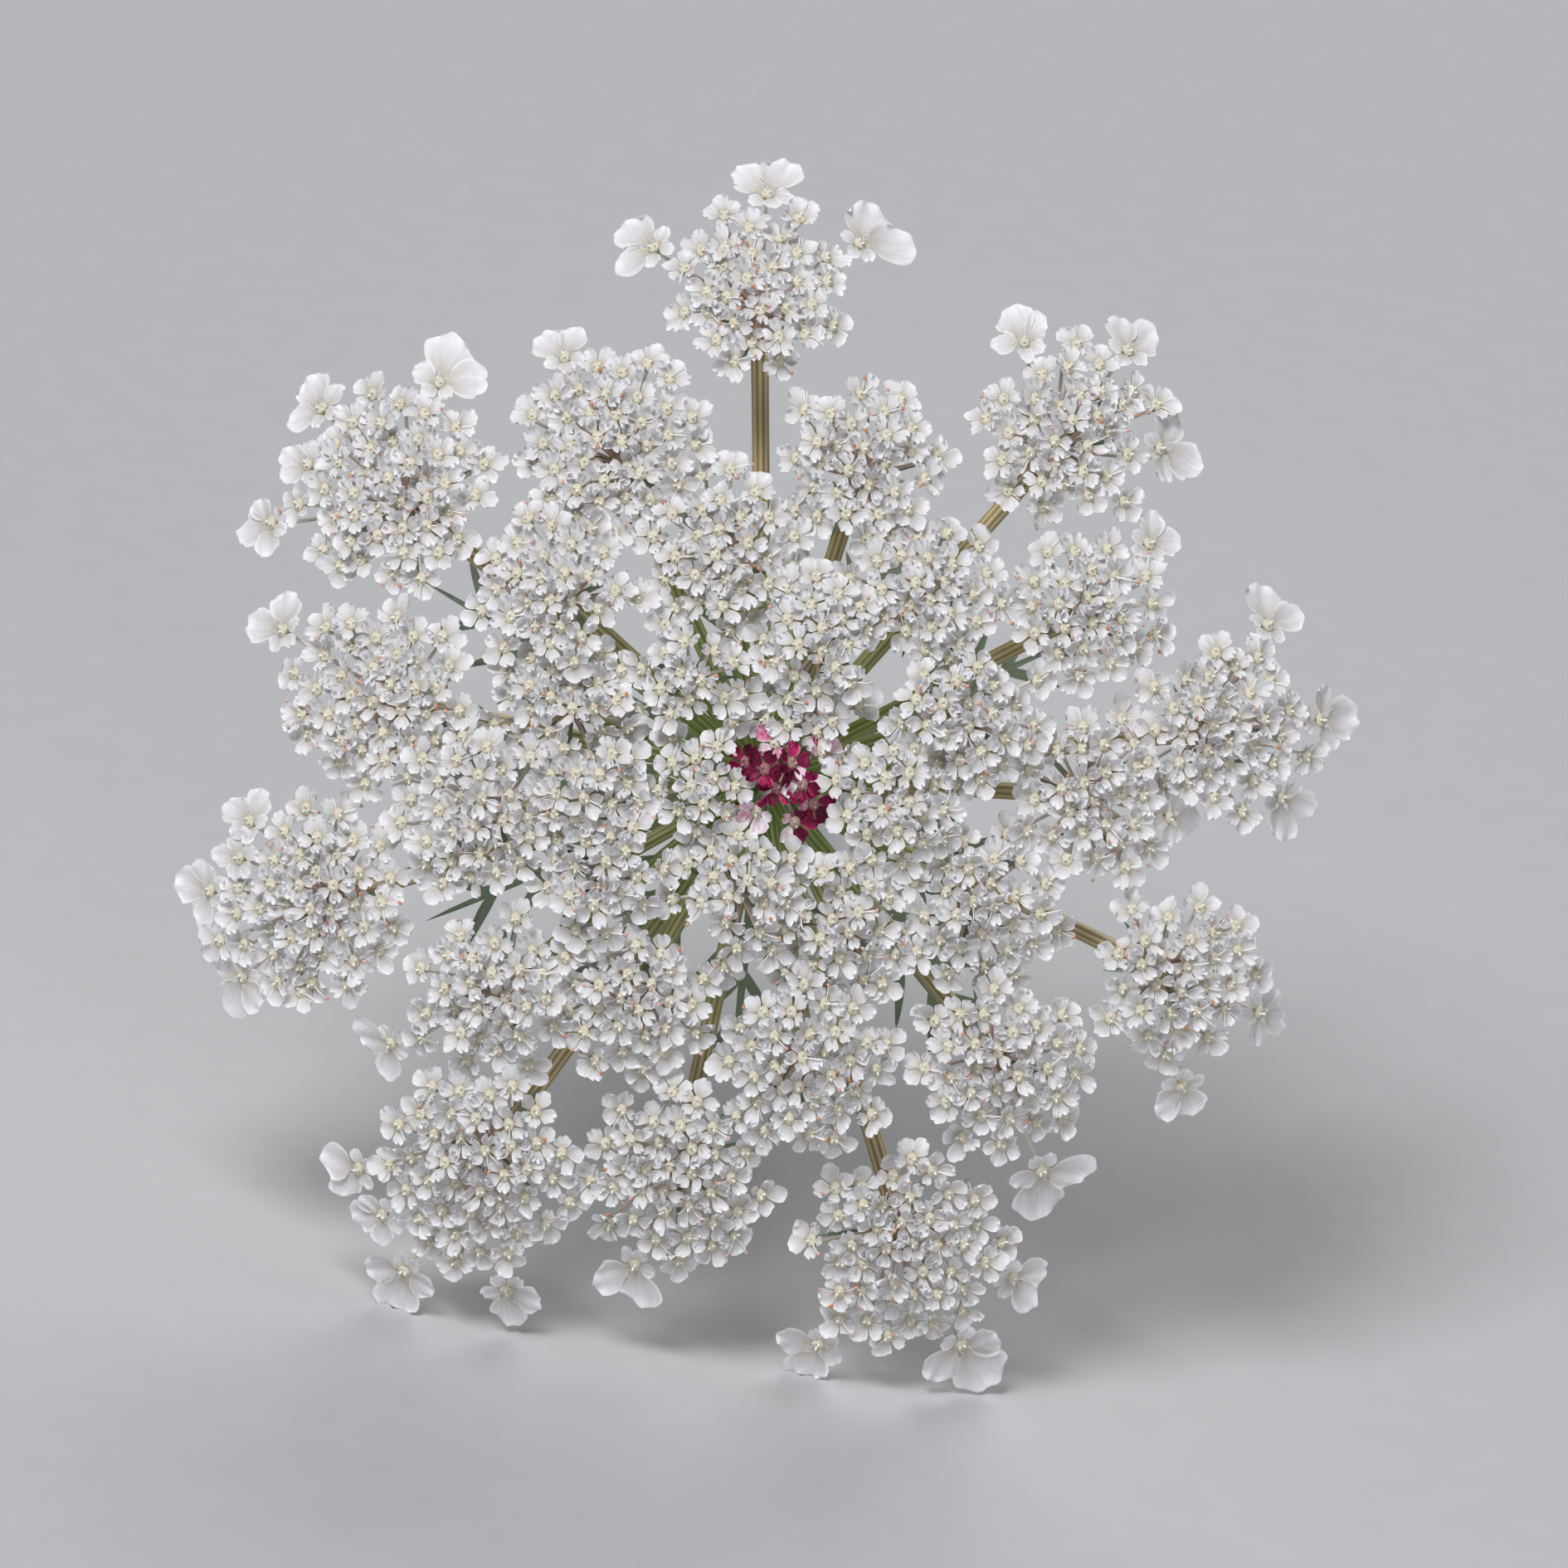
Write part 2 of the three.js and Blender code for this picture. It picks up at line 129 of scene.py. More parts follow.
def tubes(paths, radii, sides):
    """Carries a round profile of some sides along each path and closes both ends. paths is
    (count, steps, 3), and radii is (count, steps), or (count, steps, sides) for ribs."""
    count, steps, _ = paths.shape
    ahead = unit(np.gradient(paths, axis=1))
    start = ahead[:, :1]
    helper = np.where(np.abs(start[..., 2:]) < 0.8, [0.0, 0.0, 1.0], [1.0, 0.0, 0.0])
    side = unit(np.cross(np.broadcast_to(helper, ahead.shape), ahead))[:, :, None]
    up = np.cross(ahead[:, :, None], side)
    angle = around(sides)[:, None]
    radii = radii if radii.ndim == 3 else np.repeat(radii[..., None], sides, axis=2)
    rings = paths[:, :, None] + radii[..., None] * (np.cos(angle) * side + np.sin(angle) * up)
    points = np.concatenate([rings.reshape(count, -1, 3), paths[:, [0, -1]]], axis=1)
    return points.reshape(-1, 3), repeated(ring_faces(steps, sides), count, steps * sides + 2)


def repeated(faces, count, stride):
    """The same faces for each of count copies, whose points follow each other stride by stride."""
    moved = faces[None] + stride * np.arange(count)[:, None, None]
    return np.where(faces[None] < 0, -1, moved).reshape(-1, 4)


def joined(*pieces):
    """Several (points, faces) as one."""
    starts = np.cumsum([0] + [len(points) for points, _ in pieces[:-1]])
    faces = [np.where(f < 0, -1, f + start) for (_, f), start in zip(pieces, starts)]
    return np.concatenate([points for points, _ in pieces]), np.concatenate(faces)


def new_object(name, data):
    """An object of the data, in the scene."""
    made = bpy.data.objects.new(name, data)
    bpy.context.scene.collection.objects.link(made)
    return made


def new_piece(name, shape, material, slot, nodes, uv=None, **attributes):
    """A mesh object of the shape's points and faces, laid on the floor. It stands for the nodes. uv
    has a pair for each point, and an attribute one value for each point or for each equal part."""
    points, faces = shape
    corners = faces[faces >= 0].astype(np.int32)
    sizes = (faces >= 0).sum(axis=1)
    mesh = bpy.data.meshes.new(name)
    mesh.vertices.add(len(points))
    mesh.vertices.foreach_set("co", laid(points).astype(np.float32).ravel())
    mesh.loops.add(len(corners))
    mesh.loops.foreach_set("vertex_index", corners)
    mesh.polygons.add(len(faces))
    mesh.polygons.foreach_set("loop_start", (np.cumsum(sizes) - sizes).astype(np.int32))
    mesh.update(calc_edges=True)
    mesh.shade_smooth()
    mesh.set_sharp_from_angle(angle=math.radians(75))
    if uv is not None:
        layer = mesh.uv_layers.new(name="UVMap")
        layer.data.foreach_set("uv", uv[corners].astype(np.float32).ravel())
    for label, values in attributes.items():
        attribute = mesh.attributes.new(label, "FLOAT", "POINT")
        each_point = np.repeat(values, len(points) // len(values))
        attribute.data.foreach_set("value", each_point.astype(np.float32))
    mesh.materials.append(material)
    piece = new_object(name, mesh)
    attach(piece, "root")
    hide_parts(*nodes)


def linear(colour):
    """An sRGB colour such as "#7a8c4e" as linear red, green, blue and 1."""
    shares = [int(colour[k:k + 2], 16) / 255 for k in (1, 3, 5)]
    straight = [s / 12.92 if s <= 0.04045 else ((s + 0.055) / 1.055) ** 2.4 for s in shares]
    return (*straight, 1.0)


def new_material(name):
    """A material with nothing but its shader, and the node output for a place in metres."""
    material = bpy.data.materials.new(name)
    material.use_nodes = True
    return material, node(material, "TexCoord", out="Object")


def feed(material, socket, value):
    """Gives a socket a value, or joins another node's output to it."""
    if isinstance(value, bpy.types.NodeSocket):
        material.node_tree.links.new(value, socket)
    else:
        socket.default_value = value


def node(material, kind, inputs=None, stops=None, out=None, **settings):
    """Adds one node and returns its output: the one named, or its factor, or its first in use.
    inputs feeds its sockets, stops are a ramp's places and colours, and the settings are its own
    properties."""
    made = material.node_tree.nodes.new("ShaderNode" + kind)
    for label, value in settings.items():
        setattr(made, label, value)
    for label, value in (inputs or {}).items():
        feed(material, made.inputs[label], value)
    for index, (position, colour) in enumerate(stops or []):
        ramp = made.color_ramp.elements
        stop = ramp[index] if index < 2 else ramp.new(position)
        stop.position = position
        stop.color = linear(colour)
    in_use = [socket.name for socket in made.outputs if socket.enabled]
    return made.outputs[out or ("Fac" if "Fac" in in_use else in_use[0])]


def coat(material, **sockets):
    """Feeds the material's shader. Its sockets are named with _ for a space."""
    shader = material.node_tree.nodes["Principled BSDF"]
    for label, value in sockets.items():
        feed(material, shader.inputs[label.replace("_", " ")], value)


# Living stem: waxy skin over green bark, paler on the ridges, with purple flecks all along it and a
# soft gloss. The cut shows a green rind round white, spongy pith.
stem_bark, place = new_material("stem bark, green and ridged")
ridge_share = node(stem_bark, "Attribute", attribute_name="ridge")
pith_share = node(stem_bark, "Attribute", attribute_name="pith")
fleck_size = 1 / (1.6 * MM)
flecks = node(stem_bark, "TexNoise", {"Vector": place, "Scale": fleck_size, "Detail": 5.0})
bark = node(stem_bark, "ValToRGB", {"Fac": ridge_share}, stops=[
    (0.0, "#4f6330"), (1.0, "#8c9c5a"), (0.55, "#6d8042"),
])
purple = node(stem_bark, "ValToRGB", {"Fac": flecks}, stops=[(0.55, "#000000"), (0.75, "#5a5a5a")])
stained = node(stem_bark, "Mix", {
    "Factor": purple, "A": bark, "B": linear("#6b4650"),
}, data_type="RGBA")
cut = node(stem_bark, "ValToRGB", {"Fac": pith_share}, stops=[
    (0.0, "#5f7238"), (0.3, "#93a261"), (0.45, "#d9d8b4"), (1.0, "#ece8d2"),
])
on_cut = node(stem_bark, "Math", {0: pith_share, 1: 0.01}, operation="GREATER_THAN")
skin = node(stem_bark, "Mix", {"Factor": on_cut, "A": stained, "B": cut}, data_type="RGBA")
cell_size = 1 / (0.25 * MM)
cells = node(stem_bark, "TexNoise", {"Vector": place, "Scale": cell_size, "Detail": 3.0})
grain = node(stem_bark, "Bump", {"Height": cells, "Strength": 0.35, "Distance": 0.05 * MM})
coat(
    stem_bark, Base_Color=skin, Normal=grain, Roughness=0.48, Subsurface_Weight=0.08,
    Subsurface_Scale=0.4 * MM,
)

# Skin: from inside the receptacle down to the cut, then across the cut to its middle.
SKIN_STEPS = 90
SKIN_SIDES = 64
CUT_RINGS = 7
NECK = -0.016  # depth of the upper end, inside the receptacle
FINE_RIB = 0.04  # three to each ridge
CUT_DISH = 0.25  # the soft pith stands proud of the cut's rind
depth, angle = np.meshgrid(np.linspace(NECK, 1, SKIN_STEPS), around(SKIN_SIDES), indexing="ij")
main_ridge = RIDGE_HEIGHT * np.cos(STEM_RIDGES * angle)
rib = FINE_RIB * np.cos(3 * STEM_RIDGES * angle + 2 * depth)
knots = 0.03 * np.sin(40 * depth + 3 * angle) + 0.02 * np.sin(95 * depth - 5 * angle)
skin_points = stem_skin(depth, angle, main_ridge + rib + knots)
inward = np.linspace(1, 0, CUT_RINGS + 1)[1:-1, None, None]
cut_middle = skin_points[-1].mean(axis=0)
dish = CUT_DISH * np.sin(math.pi * inward) * [0.0, 0.0, 1.0]
cut_points = cut_middle + inward * (skin_points[-1] - cut_middle) + dish
middle = cut_middle + [0, 0, 0.05]
rings = np.concatenate([skin_points, cut_points])
# The rings go down, so each face's corners are taken the other way round to point outwards.
stem_shape = (
    np.concatenate([rings.reshape(-1, 3), [skin_points[0].mean(axis=0), middle]]),
    ring_faces(len(rings), SKIN_SIDES)[:, [0, 3, 2, 1]],
)
height = (main_ridge + rib) / (2 * (RIDGE_HEIGHT + FINE_RIB)) + 0.5
new_piece(
    "stem_skin", stem_shape, stem_bark, "stem", ["stem"],
    ridge=np.concatenate([height.ravel(), np.full((CUT_RINGS - 1) * SKIN_SIDES + 2, 0.5)]),
    pith=np.concatenate([
        np.zeros(height.size), np.repeat(1 - inward.ravel(), SKIN_SIDES), [0.0, 1.0],
    ]),
)

# Bristles: thin hollow hairs, stiff and glassy white, that point down the stem. Each is a long
# three-sided spike with its root in the skin.
HAIRS = 900
HAIR_LENGTH = (0.5, 1.3)
HAIR_RADIUS = 0.035
HAIR_ROOT = 0.05  # depth in the skin
HAIR_TIP = 0.004
hair_draw = np.random.default_rng(11)
hair_depth = hair_draw.uniform(0.01, 0.995, HAIRS)
hair_angle = hair_draw.uniform(0, 2 * math.pi, HAIRS)
hair_ridge = RIDGE_HEIGHT * np.cos(STEM_RIDGES * hair_angle)
hair_root = stem_skin(hair_depth, hair_angle, hair_ridge - HAIR_ROOT)
hair_droop = hair_draw.uniform(-1.1, -0.3, HAIRS)
hair_out = np.stack([np.cos(hair_angle), np.sin(hair_angle), hair_droop], -1)
hair_long = hair_draw.uniform(*HAIR_LENGTH, HAIRS)[:, None] * unit(hair_out)
hair_step = np.array([0.0, 0.45, 1.0])[None, :, None]
hair_path = hair_root[:, None] + hair_step * hair_long[:, None]
hair_path[:, -1, 2] -= 0.12  # the tips droop
hair_shape = tubes(hair_path, np.tile([HAIR_RADIUS, HAIR_RADIUS * 0.7, HAIR_TIP], (HAIRS, 1)), 3)

bristle, place = new_material("bristle, glassy white hair")
tone_noise = node(bristle, "TexNoise", {"Vector": place, "Scale": 1 / (2 * MM)})
tone = node(bristle, "ValToRGB", {"Fac": tone_noise}, stops=[(0.3, "#c9cdb4"), (0.7, "#eef0e6")])
coat(bristle, Base_Color=tone, Roughness=0.35)
new_piece("stem_bristles", hair_shape, bristle, "stem", ["stem"])

# ---- Umbellets: where they stand ----
# Each ray ends in a hub that carries one umbellet, a small dome of florets. The umbellets make
# up the umbel's own flat dome, and neighbours stand at slightly different heights.
DOME_TOP = 21.0
DOME_DROP = 6.5
DOME_REACH = 37.0
UMBELLET_BULGE = 1.3
STAGGERS = (0.0, 1.5, 0.75)
HUB_DEPTH_SHARE = 0.45
HUB_DEPTH_LEAST = 1.6
# x, y and radius of each, from umbellet_01 on; the last is the crimson one in the middle.
UMBELLETS = np.array([
    (-0.3, 36.7, 6.9), (23.1, 26.1, 7.0), (24.4, 12.6, 6.1), (34.7, 3.6, 6.9),
    (25.3, -1.4, 6.5), (31.3, -15.2, 6.6), (18.1, -21.8, 6.9), (10.9, -35.8, 7.8),
    (-6.6, -30.2, 7.2), (-21.6, -29.6, 7.8), (-34.4, -9.6, 7.7), (-29.1, 6.1, 7.3),
    (-28.1, 21.7, 7.8), (-11.3, 24.8, 7.5), (7.5, 23.6, 6.4), (-15.3, 13.9, 6.4),
    (-2.8, 16.7, 6.5), (12.2, 13.6, 5.9), (15.3, 4.8, 5.7), (16.3, -9.9, 6.3),
    (10.3, -1.8, 5.0), (3.4, -21.4, 6.8), (-9.7, -16.4, 6.3), (-20.3, -16.4, 6.5),
    (-20.9, -3.0, 6.8), (5.9, -11.8, 5.5), (-1.9, -8.9, 5.0), (-12.2, -6.8, 5.0),
    (-15.0, 5.4, 5.5), (-5.6, 7.6, 4.5), (4.4, 10.1, 4.9), (3.8, 4.2, 3.4),
    (-4.7, -0.8, 3.6), (-12.8, -0.5, 4.0), (1.3, -0.2, 3.9),
])
CRIMSON = len(UMBELLETS) - 1
CRIMSON_SINK = 1.0
umbellet_names = [f"umbellet_{index + 1:02d}" for index in range(CRIMSON)] + ["crimson_umbellet"]
umbellet_spot = UMBELLETS[:, :2]
umbellet_radius = UMBELLETS[:, 2]
umbellet_sink = np.array([STAGGERS[index % 3] for index in range(CRIMSON)] + [CRIMSON_SINK])
dome_slope = 2 * DOME_DROP / DOME_REACH**2


def dome_height(spot):
    """Height of the umbel's domed face: its top, less a fall with the square of the distance."""
    return DOME_TOP - DOME_DROP * (spot**2).sum(axis=-1) / DOME_REACH**2


hub_depth = HUB_DEPTH_LEAST + HUB_DEPTH_SHARE * umbellet_radius
hub_place = np.column_stack([
    umbellet_spot * (1 - dome_slope * hub_depth)[:, None],
    dome_height(umbellet_spot) - umbellet_sink - hub_depth,
])

# ---- Receptacle and rays ----
# The stem's top swells into the receptacle, and 35 ribbed rays leave it like the spokes of an
# umbrella, all one growth. They are green near the middle and dry to straw further out.
RECEPTACLE_RADIUS = 2.9
RECEPTACLE_HALF_HEIGHT = 2.0
RECEPTACLE_SIDES = 40
BALL_TIP = 0.02  # least radius, at both ends
RAY_SAG = 0.7
RAY_RIBS = 8
RAY_SIDES = 32
RAY_STEPS = 13
RIB_DEPTH = 0.085  # of a ray's furrows, as a share of its radius

ray_skin, place = new_material("ray skin, ribbed and drying to straw")
from_middle = node(ray_skin, "Attribute", attribute_name="from_middle")
crest = node(ray_skin, "Attribute", attribute_name="crest")
patch_noise = node(ray_skin, "TexNoise", {"Vector": place, "Scale": 1 / (5 * MM)})
patchy = node(ray_skin, "Math", {0: patch_noise, 1: 0.35, 2: from_middle}, operation="MULTIPLY_ADD")
crest_colour = node(ray_skin, "ValToRGB", {"Fac": patchy}, stops=[
    (0.36, "#d2dfa4"), (1.0, "#f0dfbb"), (0.68, "#e2d8ad"),
])
furrow_colour = node(ray_skin, "ValToRGB", {"Fac": patchy}, stops=[
    (0.36, "#86a250"), (1.0, "#977a4e"), (0.68, "#968954"),
])
striped = node(ray_skin, "Mix", {
    "Factor": crest, "A": furrow_colour,
    "B": crest_colour,
}, data_type="RGBA")
fibre_noise = node(ray_skin, "TexNoise", {"Vector": place, "Scale": 1 / (0.3 * MM)})
fibres = node(ray_skin, "Bump", {"Height": fibre_noise, "Strength": 0.3, "Distance": 0.05 * MM})
coat(
    ray_skin, Base_Color=striped, Normal=fibres, Roughness=0.5, Subsurface_Weight=0.06,
    Subsurface_Scale=0.3 * MM,
)


def bows(start, bend, end, share):
    """Paths from each start to each end, drawn towards bend in between: a quadratic curve."""
    return (
        (1 - share) ** 2 * start[:, None] + 2 * share * (1 - share) * bend[:, None]
        + share**2 * end[:, None]
    )


ray_ahead = unit(hub_place)
ray_start = ray_ahead * RECEPTACLE_RADIUS * 0.35
ray_end = hub_place - 0.5 * ray_ahead
ray_bend = (ray_start + ray_end) / 2 - [0, 0, RAY_SAG]
t = np.linspace(0, 1, RAY_STEPS)[None, :, None]
ray_path = bows(ray_start, ray_bend, ray_end, t)
ray_radius = 0.34 + 0.04 * umbellet_radius
ray_swell = 1 + 0.22 * np.exp(-t[0, :, 0] / 0.08) + 0.28 * np.exp(-(1 - t[0, :, 0]) / 0.05)
ribbing = np.cos(RAY_RIBS * around(RAY_SIDES))
ray_radii = (ray_radius[:, None] * ray_swell)[..., None] * (1 + RIB_DEPTH * ribbing)
rays_shape = tubes(ray_path, ray_radii, RAY_SIDES)
ray_distance = np.linalg.norm(ray_path, axis=-1) / 40
ray_crest = np.broadcast_to(np.clip(0.5 + 0.8 * ribbing, 0, 1), ray_radii.shape)
ray_count = len(UMBELLETS)


def balls(middles, axes, half_length, radius, steps, sides):
    """Closed round bodies about the middles, half_length long either way along the axes. radius is
    the girth's, or one for each side, and shrinks towards both ends with the sine of the turn."""
    turns = np.linspace(0, math.pi, steps)[None, :, None]
    paths = middles[:, None] - half_length * np.cos(turns) * axes[:, None]
    radii = np.maximum(np.sin(turns) * np.broadcast_to(radius, sides), BALL_TIP)
    return tubes(paths, np.repeat(radii, len(middles), axis=0), sides)


def with_ends(values, ends):
    """Values of each tube's rings, followed by those of its two end points."""
    return np.concatenate([values.reshape(ray_count, -1), ends], axis=1).ravel()


knobs = RECEPTACLE_RADIUS * (1 + 0.05 * np.cos(11 * around(RECEPTACLE_SIDES)))
receptacle_shape = balls(
    np.zeros((1, 3)), np.array([[0, 0, 1.0]]), RECEPTACLE_HALF_HEIGHT, knobs, 14, RECEPTACLE_SIDES
)
receptacle_points = len(receptacle_shape[0])
new_piece(
    "rays_and_receptacle", joined(rays_shape, receptacle_shape), ray_skin, "rays", ["rays"],
    from_middle=np.concatenate([
        with_ends(np.repeat(ray_distance[..., None], RAY_SIDES, axis=2), ray_distance[:, [0, -1]]),
        np.zeros(receptacle_points),
    ]),
    crest=np.concatenate([
        with_ends(ray_crest, np.full((ray_count, 2), 0.5)), np.full(receptacle_points, 0.6),
    ]),
)

# ---- Bracts ----
# The ruff under the rays: ten leafy bracts, each a narrow midrib blade with pairs of pointed
# lobes. They are thin, grey-green and finely hairy, with pale edges and purple tips.
BRACT_START = 2.4  # from the umbel's axis
BRACT_LEVEL = -1.5
BRACT_THICKNESS = 0.22
BRACT_LOBES = (0.42, 0.6, 0.77)
BRACT_LOBE_ANGLE = math.radians(33)
# Direction round the axis in degrees, length, and fall of the tip.
BRACTS = (
    (24, 23, 3.0), (60, 20, 5.5), (104, 22, 2.6), (150, 28, 5.5), (176, 25, 2.6),
    (203, 26, 5.8), (232, 20, 2.8), (264, 21, 5.5), (308, 24, 2.6), (336, 20, 5.2),
)


def sheet_grid(rows, columns):
    """v from 0 to 1 along the rows of a sheet, and u from -1 to 1 over its columns."""
    return np.meshgrid(np.linspace(0, 1, rows), np.linspace(-1, 1, columns), indexing="ij")


def closed_blades(sheets, thickness, below):
    """Closes each sheet of points into a thin blade with a sharp rim. sheets is (count, rows,
    columns, 3). The inner points are repeated lower by the thickness, and both faces share the
    rim. below is each sheet's downward direction."""
    count, rows, columns, _ = sheets.shape
    lowered = sheets[:, 1:-1, 1:-1] + thickness * below[:, None, None]
    points = np.concatenate([sheets.reshape(count, -1, 3), lowered.reshape(count, -1, 3)], axis=1)
    upper = np.arange(rows * columns).reshape(rows, columns)
    lower = upper.copy()
    lower[1:-1, 1:-1] = rows * columns + np.arange((rows - 2) * (columns - 2)).reshape(rows - 2, -1)
    faces = [
        np.stack([grid[:-1, :-1], grid[1:, :-1], grid[1:, 1:], grid[:-1, 1:]], -1).reshape(-1, 4)
        for grid in (upper, lower)
    ]
    faces = np.concatenate([faces[0], faces[1][:, ::-1]])
    return points.reshape(-1, 3), repeated(faces, count, points.shape[1])


def blade_values(values):
    """A value for each point of the sheets, repeated for the inner points of the lower faces."""
    count = len(values)
    inner = values[:, 1:-1, 1:-1].reshape(count, -1, *values.shape[3:])
    outer = values.reshape(count, -1, *values.shape[3:])
    return np.concatenate([outer, inner], axis=1).reshape(-1, *values.shape[3:])


bract_leaf, place = new_material("bract leaf, grey-green and finely hairy")
surface = node(bract_leaf, "UVMap", uv_map="UVMap")
across = node(bract_leaf, "SeparateXYZ", {0: surface})
along = across.node.outputs["Y"]
mottle = node(bract_leaf, "TexNoise", {"Vector": place, "Scale": 1 / (1.5 * MM), "Detail": 4.0})
leaf_shade = node(bract_leaf, "Math", {0: mottle, 1: 0.25, 2: along}, operation="MULTIPLY_ADD")
leaf_colour = node(bract_leaf, "ValToRGB", {"Fac": leaf_shade}, stops=[
    (0.1, "#b9c6a4"), (1.0, "#735f6a"), (0.35, "#92a488"), (0.86, "#80947c"),
])
from_rib = node(bract_leaf, "Math", {0: across, 1: 0.5}, operation="SUBTRACT")
from_rib = node(bract_leaf, "Math", {0: from_rib}, operation="ABSOLUTE")
margin = node(bract_leaf, "ValToRGB", {"Fac": from_rib}, stops=[
    (0.0, "#6a6a6a"), (0.5, "#8a8a8a"), (0.06, "#000000"), (0.4, "#000000"),
])
edged = node(bract_leaf, "Mix", {
    "Factor": margin, "A": leaf_colour, "B": linear("#c3cbb4"),
}, data_type="RGBA")
leaf_bump = node(bract_leaf, "Bump", {"Height": mottle, "Strength": 0.4, "Distance": 0.1 * MM})
coat(
    bract_leaf, Base_Color=edged, Normal=leaf_bump, Roughness=0.6, Sheen_Weight=0.35,
    Sheen_Roughness=0.5,
)

BLADE_ROWS = 13
BLADE_COLUMNS = 7
bract_parts = []
for direction, length, fall in BRACTS:
    # The midrib blade first, then the pairs of lobes: root along the rib, side, reach and width.
    parts = [(0.0, 0.0, length, 0.7)]
    for k, share in enumerate(BRACT_LOBES):
        reach = length * (0.3 - 0.05 * k)
        parts += [(share * length, sign * BRACT_LOBE_ANGLE, reach, 0.36) for sign in (-1, 1)]
    for root, spread, reach, half in parts:
        bract_parts.append((math.radians(direction), length, fall, root, spread, reach, half))
turn, length, fall, root, spread, reach, half = (
    np.array(values)[:, None, None] for values in zip(*bract_parts)
)
v, u = sheet_grid(BLADE_ROWS, BLADE_COLUMNS)
is_rib = root == 0
taper = np.where(is_rib, 0.5 + 0.75 * np.exp(-v / 0.12), 0.7 + 0.5 * np.sin(math.pi * v**0.7))
taper = taper * np.sqrt(np.clip(1 - v**3, 0.0004, 1))
side = u * half * taper
run = v * reach
bow = 0.12 * reach * v**2 * np.sign(spread)
x = root + run * np.cos(spread) - (side + bow) * np.sin(spread) * np.where(is_rib, 0, 1)
y = run * np.sin(spread) + (side + bow) * np.cos(spread)
channel = 0.3 * np.abs(side) + 0.1 * np.sin(9 * v + 2 * spread) * v
z = BRACT_LEVEL - fall * (x / length) ** 2 + channel
x = x + BRACT_START
east = x * np.cos(turn) - y * np.sin(turn)
bract_sheets = np.stack([east, x * np.sin(turn) + y * np.cos(turn), z], axis=-1)
straight_down = np.array([[0.0, 0.0, -1.0]])
bract_uv = np.stack(np.broadcast_arrays(
    (u + 1) / 2 + 0 * x, 0.85 * np.clip((x - BRACT_START) / length + 0.08 * (root > 0) * v, 0, 1)
), -1)
new_piece(
    "bracts", closed_blades(bract_sheets, BRACT_THICKNESS, straight_down), bract_leaf, "bracts",
    [f"bract_{index + 1:02d}" for index in range(len(BRACTS))], uv=blade_values(bract_uv),
)

# ---- Florets: where they stand ----
# About 960 florets in all, each some 3 mm across, set in seed spirals and pushed apart where they
# crowd. The showy ones at the umbel's edge stay where they are, their long petals outward.
FLORET_SPACING = 2.2
PETAL_REACH = 1.6  # of an ordinary petal, from the floret's middle
SPIRAL_PITCH = 0.495  # sets how many florets fill an umbellet
CROWDING = 0.56  # above a half, a spiral is closer in its middle
MIDDLE_ROOM = 0.84  # room of the middle floret, as a share of an outer one's
FLORET_INSET = 0.36  # from the umbellet's edge to the outer florets
FULL_WITHIN = 22.0  # umbellets nearer to the axis are fuller
GOLDEN_ANGLE = math.pi * (3 - math.sqrt(5))
SETTLING_ROUNDS = 60
STRAY = 0.25  # a floret may be pushed this far out of its umbellet
CELL_OVERLAP = 14.0  # square millimetres that a floret may stray into another umbellet
OVERLAP = 0.82  # florets of two umbellets stand closer, one above the other
RIM_STRETCH = 1.17  # their petals rise from the face, so they are longer than they look
GAP_ROOM = 1.3  # from a gap's edge to the middles of the florets round it
PUSH, GAP_PUSH = 0.3, 0.6  # share of an overlap that one round undoes
DRIFT = 0.2  # of a floret's place, at random
UNEVEN = 0.55  # of its height
TILT = 0.22  # of its facing
# Gaps between umbellets, through which rays and bracts show: x, y and radius.
GAPS = np.array([
    (-10.2, 10.7, 1.5), (9.4, 8.1, 1.7), (18.6, 9.0, 1.4), (7.7, 3.2, 1.2), (-5.3, -12.1, 1.5),
    (-20.9, -9.8, 1.4), (-9.6, 15.9, 1.3), (-18.3, -8.3, 0.8), (-4.4, 4.1, 0.9), (-7.3, -4.9, 1.1),
    (-16.0, -10.6, 0.9),
])
# x, y, longest petal as it looks from above, and that petal's direction in degrees.
RIM_FLORETS = np.array([
    (0.3, 44.1, 3.4, 69), (-8.3, 40.0, 3.2, 140), (7.3, 40.3, 3.6, 5), (19.7, 32.9, 2.8, 117),
    (27.6, 32.3, 2.8, 22), (30.0, 24.8, 3.4, -18), (29.1, 17.6, 2.6, 5), (38.1, 11.5, 3.1, 92),
    (42.1, 4.3, 3.1, 3), (39.1, -1.6, 2.9, -90), (30.6, -3.0, 2.3, -10),
    (37.5, -17.8, 2.6, -14), (31.6, -23.4, 2.6, -127), (21.0, -29.7, 3.8, -84),
    (18.9, -38.0, 2.7, 25), (15.0, -43.0, 4.1, -53), (4.1, -43.0, 3.1, -118),
    (-9.7, -36.8, 3.3, -90), (-30.6, -29.6, 2.7, 160), (-28.8, -33.1, 2.4, -164),
    (-27.2, -37.4, 3.6, 169), (-19.4, -38.8, 3.0, -92), (-41.9, -8.6, 2.7, 170),
    (-39.4, -15.1, 2.9, -132), (-38.8, -3.3, 2.4, 70), (-39.6, -6.1, 2.1, 169),
    (-36.3, 11.1, 2.9, 168), (-33.4, 27.9, 2.8, 125), (-24.4, 29.8, 3.7, 8),
    (-34.4, 23.6, 2.3, 149), (-37.2, 19.2, 2.7, -167), (-15.0, 31.7, 2.6, 141),
    (-28.1, -20.1, 2.8, -110),
])
